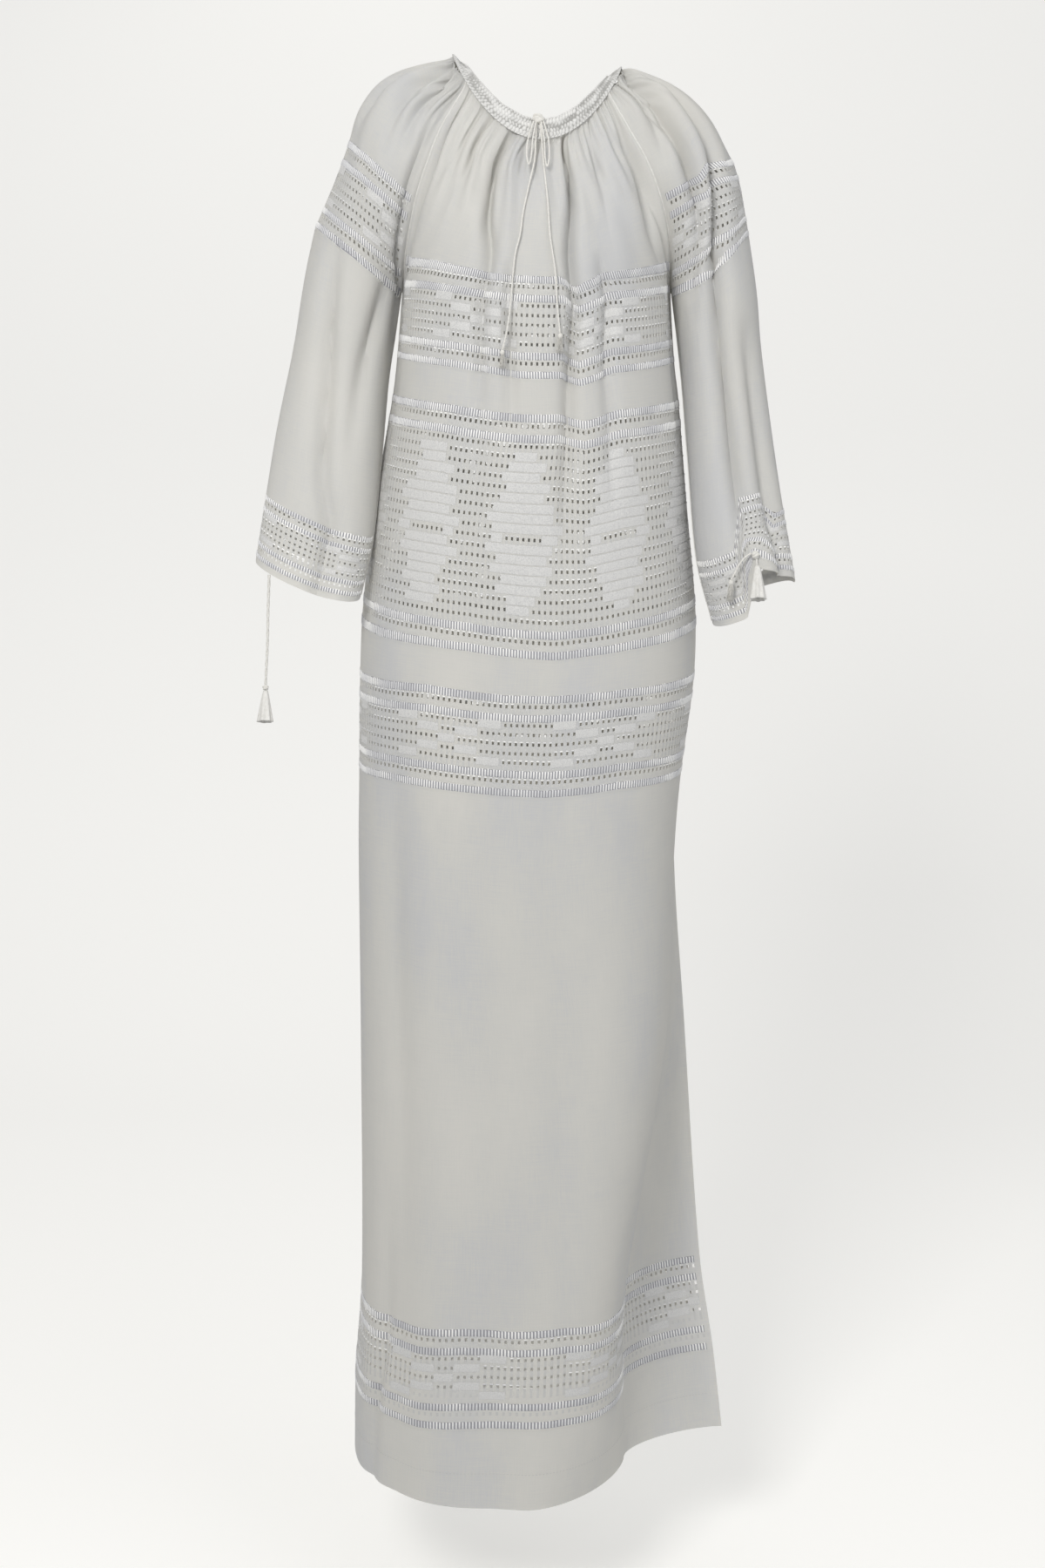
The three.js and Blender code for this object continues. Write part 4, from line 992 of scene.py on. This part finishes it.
LEFT_FOLDS = [
    [(0, 0.03, 2, 4), (0.3, 0.04, 6, 5), (0.8, 0.04, 8, 5), (1.0, 0.04, 6, 5), (1.3, 0.04, 0, 6)],
    [(0, 0.08, 3, 5), (0.1, 0.07, 10, 6), (0.25, 0.06, 6, 7), (0.4, 0.05, 0, 8)],
    [(0, 0.15, 3, 5), (0.1, 0.14, 10, 6), (0.23, 0.10, 6, 7), (0.38, 0.08, 0, 8)],
    [(0, 0.24, 5, 5), (0.06, 0.228, 11, 6), (0.15, 0.168, 13, 7), (0.29, 0.133, 10, 8),
     (0.5, 0.12, 0, 9)],
    [(0, 0.34, 3, 5), (0.13, 0.27, 11, 7), (0.28, 0.22, 10, 9), (0.44, 0.19, 5, 10),
     (0.55, 0.18, 0, 10)],
    [(0, 0.45, 3, 5), (0.1, 0.44, 11, 7), (0.3, 0.4, 10, 9), (0.5, 0.38, 0, 10)],
    [(0, 0.60, 3, 5), (0.15, 0.60, 11, 7), (0.4, 0.60, 8, 9), (0.7, 0.60, 0, 10)],
    [(0, 0.75, 3, 5), (0.15, 0.74, 11, 7), (0.5, 0.72, 8, 9), (1.0, 0.72, 0, 10)],
    [(0, 0.88, 3, 5), (0.15, 0.87, 8, 7), (0.4, 0.86, 0, 9)],
    [(0.95, 0.31, 0, 8), (1.155, 0.30, 11, 9), (1.414, 0.265, 14, 10), (1.707, 0.23, 14, 10),
     (1.794, 0.19, 13, 10), (2, 0.18, 11, 11)],
    [(0.98, 0.12, 0, 6), (1.055, 0.125, 8, 7), (1.261, 0.145, 10, 8), (1.468, 0.16, 6, 9),
     (1.7, 0.16, 0, 10)],
    [(1.1, 0.50, 0, 12), (1.5, 0.52, 8, 13), (2, 0.50, 8, 14)],
    [(0.9, 0.72, 0, 10), (1.4, 0.71, 11, 12), (2, 0.70, 10, 14)]]
RIGHT_FOLDS = [
    [(0, 0.14, 3, 5), (0.16, 0.138, 11, 6), (0.25, 0.122, 12, 7), (0.38, 0.083, 8, 8),
     (0.5, 0.06, 0, 9)],
    [(0, 0.30, 3, 5), (0.07, 0.255, 9, 6), (0.19, 0.18, 11, 7), (0.33, 0.14, 6, 8),
     (0.47, 0.11, 0, 9)],
    [(0, 0.40, 3, 5), (0.07, 0.33, 11, 6), (0.14, 0.265, 16, 7), (0.30, 0.19, 19, 8),
     (0.39, 0.173, 19, 8), (0.53, 0.147, 19, 8), (0.68, 0.135, 14, 8), (0.95, 0.15, 6, 9),
     (1.2, 0.15, 0, 9)],
    [(0.1, 0.40, 0, 7), (0.26, 0.352, 11, 8), (0.37, 0.32, 16, 8), (0.5, 0.297, 20, 8),
     (0.61, 0.26, 20, 8), (0.8, 0.245, 19, 9), (1.0, 0.242, 19, 9), (1.208, 0.215, 17, 9),
     (1.408, 0.225, 17, 9), (1.6, 0.23, 17, 9), (1.75, 0.235, 9, 9), (1.85, 0.235, 0, 9)],
    [(0, 0.50, 3, 5), (0.15, 0.48, 9, 7), (0.35, 0.46, 8, 9), (0.6, 0.45, 0, 10)],
    [(0, 0.62, 3, 5), (0.15, 0.62, 11, 7), (0.4, 0.62, 8, 9), (0.7, 0.62, 0, 10)],
    [(0, 0.76, 3, 5), (0.15, 0.75, 11, 7), (0.5, 0.73, 8, 9), (1.0, 0.73, 0, 10)],
    [(0, 0.88, 3, 5), (0.15, 0.87, 8, 7), (0.4, 0.86, 0, 9)],
    [(1.2, 0.33, 0, 10), (1.5, 0.36, 11, 11), (2, 0.38, 12, 12)],
    [(0.9, 0.72, 0, 10), (1.4, 0.71, 11, 12), (2, 0.70, 9, 14)]]
LEFT_OFFSETS = [
    (0, 0.05, 0.25, 0.45, 1), (0, 0, 0, 0, 0), (0.57, 0.01, -0.012, -0.02, 0), (2, 0, 0, 0, 0)]
RIGHT_OFFSETS = [
    (0, 0.05, 0.20, 0.25, 0.34, 0.42, 1), (0, 0, 0, 0, 0, 0, 0), (0.57, 0, 0, -0.03, -0.03, 0, 0),
    (1.02, 0.01, 0.02, 0.02, 0, -0.03, 0), (1.6, 0, 0, -0.04, -0.04, 0, 0),
    (1.81, 0, 0.01, -0.12, -0.10, 0, 0), (1.95, 0, 0, -0.09, -0.06, 0, 0), (2, 0, 0, 0, 0, 0, 0)]
SLEEVE_GATHERS = [
    (44, 0.7, 0.03, 0.2), (22, 1.7, 0.06, 0.4), (12, 2.0, 0.15, 0.6), (7, 1.6, 0.3, 1.3)]
# The drawn-up cuff: its peak's place across, the reach of its steep and of its
# wide flank, its lift in millimetres, and the run from which it rises.
NOTCH_AT, NOTCH_STEEP, NOTCH_WIDE, NOTCH_LIFT, NOTCH_FROM = 0.235, 0.035, 0.27, 44, 1.72
SLEEVE_BANDS = [(0.575, 1.02, NARROW), (1.805, 1.985, NARROW)]
SLEEVE_CELLS = 56


def sleeve_rows(runs, side, count):
    """Rows of a sleeve, run 0 at the neck, 1 at the armpit, 2 at the edge. Each
    is an arc centre + out * cos(a) + deep * sin(a) from -open to open; the right
    cuff is lifted to a peak at one place of its front."""
    cap, arm, edge = (LEFT_CAP, LEFT_ARM, 4) if side < 0 else (RIGHT_CAP, RIGHT_ARM, 5)
    top = runs < 1
    rows = smooth(cap, np.minimum(runs, 1))
    seam = smooth(RAGLAN, np.minimum(runs, 1))
    opening = np.radians(rows[:, 4])
    chord = np.stack([seam[:, edge] + side * SEAM, (seam[:, 6] + seam[:, 7]) / 2, seam[:, 3]], 1)
    out_top = (rows[:, 1:4] - chord) / (1 - np.cos(opening))[:, None]
    centre_top = rows[:, 1:4] - out_top
    deep_top = (seam[:, 7] - seam[:, 6]) / 2 / np.sin(opening)
    low = smooth(arm, np.maximum(runs - 1, 0) * arm[-1, 0])
    centre_low = (low[:, 1:4] + low[:, 4:7]) / 2
    pick_top = top[:, None]
    centre = np.where(pick_top, centre_top, centre_low)
    outward = np.where(pick_top, out_top, low[:, 1:4] - centre_low)
    deep = np.where(top, deep_top, low[:, 7])
    lean = np.where(top, 0, low[:, 8])
    opening = np.where(top, opening, math.pi - SEAM / low[:, 7])
    angle = opening[:, None] * np.linspace(-1, 1, 193)
    points = centre[:, None] + outward[:, None] * np.cos(angle)[..., None]
    points[..., 1] += deep[:, None] * np.sin(angle)
    points[..., 2] += lean[:, None] * np.sin(angle)
    grid = evenly(points, count)
    if side > 0:
        across = np.linspace(0, 1, count + 1)[None]
        reach = np.where(across < NOTCH_AT, NOTCH_STEEP, NOTCH_WIDE)
        near = np.maximum(1 - np.abs(across - NOTCH_AT) / reach, 0)
        grid[..., 2] += NOTCH_LIFT * near * ease(runs, NOTCH_FROM, 2)[:, None]
    x = RAGLAN[0, edge] + side * SEAM
    start, end = seam_angle(x, RAGLAN[0, 6]), seam_angle(x, RAGLAN[0, 7])
    if side < 0:
        start += 2 * math.pi
    return meet_ring(grid, start, end, ease(runs, 0, 0.2))


runs = np.r_[np.linspace(0, 1, 110)[:-1], np.linspace(1, 2, 90)]
sleeves = {}
for name, side, folds, offsets, node, seed in (
        ("left_sleeve_cloth", -1, LEFT_FOLDS, LEFT_OFFSETS, "left_sleeve", 21),
        ("right_sleeve_cloth", 1, RIGHT_FOLDS, RIGHT_OFFSETS, "right_sleeve", 22)):
    facing = -side
    base = folded(sleeve_rows(runs, side, 400), folds, runs, facing, 36)
    base = gathers(base, runs, facing, SLEEVE_GATHERS, seed)
    sleeves[name] = Surface(base, runs, facing, 480, offsets)
    garment_piece(name, sleeves[name], SLEEVE_BANDS, SLEEVE_CELLS, 0.006, 2, crosses,
                  node, step=1 / 280, flip=side < 0)

# ---- Gathered neck ----
# The tops of all four pieces are drawn up on rows of stitches into a band of
# very fine pleats, about two centimetres deep, with the cord run through it. The
# pleats are tightest at the front and run out into the gathers at its foot.

smocked = Finish(
    "smocked_cotton", {"Roughness": 0.85, "Sheen Weight": 0.1, "Sheen Roughness": 0.4})
# The band's colour follows the height of its pleats, darker in the sunken folds and lighter on the
# crests: painted shade in the pleat valleys.
height = smocked.node("Attribute", {"attribute_name": "raised"}, out=2)
smocked.coloured(height * 0.5 + 0.35, (0.08, (0.38, 0.375, 0.36)), (0.40, (0.68, 0.675, 0.66)),
                 (0.8, (0.80, 0.795, 0.775)))
crease = smocked.noise(smocked.node("TexCoord", out=3), 520.0, 4.0)
smocked.bumped(crease, 0.6, 0.0007)

PLEATS = 146              # round the neck
ROWS = 5                  # rows of stitches that hold them
angle = np.linspace(0, 2 * math.pi, PLEATS * 8, endpoint=False)
down = np.linspace(0, 1, 26)
draw = np.random.default_rng(5)


def drifting(low, high, count):
    """Values that wander round the ring and down the band, from low to high."""
    knots = np.linspace(0, 2 * math.pi, count)
    rows = [np.interp(angle, knots, draw.uniform(low, high, count)) for _ in range(ROWS + 2)]
    return smooth(np.c_[np.linspace(0, 1, ROWS + 2), rows], down)[:, 1:]


ring_a, ring_b = neck_ring(NECK_TOP, angle), neck_ring(NECK_LOW, angle)
band = ring_a[None] * (1 - down)[:, None, None] + ring_b[None] * down[:, None, None]
wrapped = np.concatenate([band[:, -1:], band, band[:, :1]], 1)
outward = -grid_normals(wrapped)[:, 1:-1]
row = down * ROWS
stitched = 0.40 + 0.60 * np.abs(np.cos(math.pi * row))[:, None]
turned = math.pi * (np.floor(row) + ease(row - np.floor(row), 0.3, 0.7))[:, None]
pleat = 0.5 + 0.5 * np.cos(PLEATS * angle[None] + drifting(-2.4, 2.4, 100) + turned)
flush = ease(down, 0.62, 1)[:, None]
from_front = (angle + math.pi / 2 + math.pi) % (2 * math.pi) - math.pi
tight = 0.45 + 0.55 * np.exp(-(from_front / 0.55) ** 2)
raised = 1.6 * pleat * stitched * tight * drifting(0.3, 1.3, 110) + drifting(-0.6, 0.6, 40) - 0.6
raised = raised * (1 - flush) + (0.8 * pleat - 0.45) * flush
band = band + raised[..., None] * outward
ruffle = pleat[0] - 0.5 + drifting(-0.4, 0.4, 60)[0]
band[:3, :, 2] += np.array([1.2, 0.6, 0.2])[:, None] * ruffle[None]
points = band.reshape(-1, 3) * MM
uv_pairs = np.stack(np.broadcast_arrays(angle[None] * 0.075, down[:, None] * 0.02), -1)
neck_band = make("gathered_neck", points, ring_faces(len(down), PLEATS * 8), smocked,
                 uv_pairs.reshape(-1, 2))
# The pleat heights, stored for the painted shade of the band's colour.
pleat_heights_for_shade = neck_band.data.attributes.new("raised", "FLOAT", "POINT")
pleat_heights_for_shade.data.foreach_set("value", raised.ravel().astype(np.float32))
give_wall(neck_band)
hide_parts("casing")

# ---- Seams ----
# Flat-felled seams join the sleeves to the body and close the sides down to the
# slit; each shows as a fine rounded ridge.


def ridge(line):
    """A fine tube along a line of points in millimetres."""
    return twisted(line * MM, 0.0007, 0.004, sides=6, notch=0.12)


t = np.linspace(NECK_LEVEL + 2, ARMPIT, 60)
lines = [front.at(t, 0.0), front.at(t, 1.0), back.at(t, 0.0), back.at(t, 1.0)]
t = np.linspace(ARMPIT, SLIT_LEVEL, 90)
lines += [front.at(t, 0.0), front.at(t, 1.0)]
t = np.linspace(1, 1.99, 60)
lines += [sleeves["left_sleeve_cloth"].at(t, 0.0), sleeves["right_sleeve_cloth"].at(t, 0.0)]
seams = make("seams", *joined([ridge(line) for line in lines]), plain_cotton)

# ---- Hem stitching ----
# The hem is turned up about four centimetres; its stitches show as a fine dotted
# line on the front and the back.

STITCH_LEVEL, STITCH_PITCH, STITCH_LONG = 1389.0, 0.0062, 0.0036
stitch = np.arange(0.02, 0.98, STITCH_PITCH)
level = np.full(len(stitch), STITCH_LEVEL)
front_row, (points, faces) = [
    patches(panel, level, level + 0.5, stitch, stitch + STITCH_LONG, 0.25)
    for panel in (front, back)]
stitches = make("hem_stitches", *joined([front_row, (points, faces[:, ::-1])]), gauze_and_slot_shade)

# ---- Light and floor ----
# A pale floor that curves up into a pale wall, and large soft lights.

floor_finish = Finish("pale_floor", {
    "Roughness": 1.0, "Base Color": (0.86, 0.855, 0.835, 1),
    "Emission Color": (1.0, 0.99, 0.965, 1), "Emission Strength": 0.25})
# Seen from the side: flat ground, a quarter bend of 1.2 m, then the upright wall.
turn = np.linspace(0, math.pi / 2, 16)
profile_y = np.r_[-6, 1.6 + 1.2 * np.sin(turn), 2.8]
profile_z = np.r_[-1.62, -0.42 - 1.2 * np.cos(turn), 5]
side_x = np.array([-7.0, 7.0])
points = np.stack(np.broadcast_arrays(side_x[None], profile_y[:, None], profile_z[:, None]), -1)
floor = bpy.data.meshes.new("floor")
floor.from_pydata(points.reshape(-1, 3).tolist(), [], [
    (2 * k, 2 * k + 1, 2 * k + 3, 2 * k + 2) for k in range(len(profile_y) - 1)])
floor.polygons.foreach_set("use_smooth", [True] * len(floor.polygons))
floor.materials.append(floor_finish.material)
floor_object = bpy.data.objects.new("floor", floor)
bpy.context.collection.objects.link(floor_object)
floor_object.visible_diffuse = False


def soft_light(name, place, aim, size, power, colour):
    """A square area light that looks from its place at a point."""
    lamp = bpy.data.lights.new(name, "AREA")
    lamp.shape = "SQUARE"
    lamp.size = size
    lamp.energy = power
    lamp.color = colour
    lamp_object = bpy.data.objects.new(name, lamp)
    way = np.array(aim, float) - np.array(place, float)
    lamp_object.location = place
    flat = math.hypot(way[0], way[1])
    lamp_object.rotation_euler = (math.atan2(flat, -way[2]), 0, math.atan2(-way[0], way[1]))
    bpy.context.collection.objects.link(lamp_object)


soft_light("key", (-0.8, -2.4, 1.0), (0, 0, -0.5), 0.8, 42, (1.0, 0.99, 0.965))
soft_light("fill", (2.2, -2.0, 1.0), (0, 0, -0.3), 2.4, 17, (0.97, 0.98, 1.0))
soft_light("rim", (-0.6, 2.0, 1.6), (0, 0, -0.4), 1.6, 13, (1.0, 0.98, 0.93))

world = bpy.data.worlds.new("world")
bpy.context.scene.world = world
world.use_nodes = True
world.node_tree.nodes["Background"].inputs["Color"].default_value = (0.93, 0.935, 0.94, 1)
world.node_tree.nodes["Background"].inputs["Strength"].default_value = 0.53
bpy.context.scene.view_settings.view_transform = "Standard"
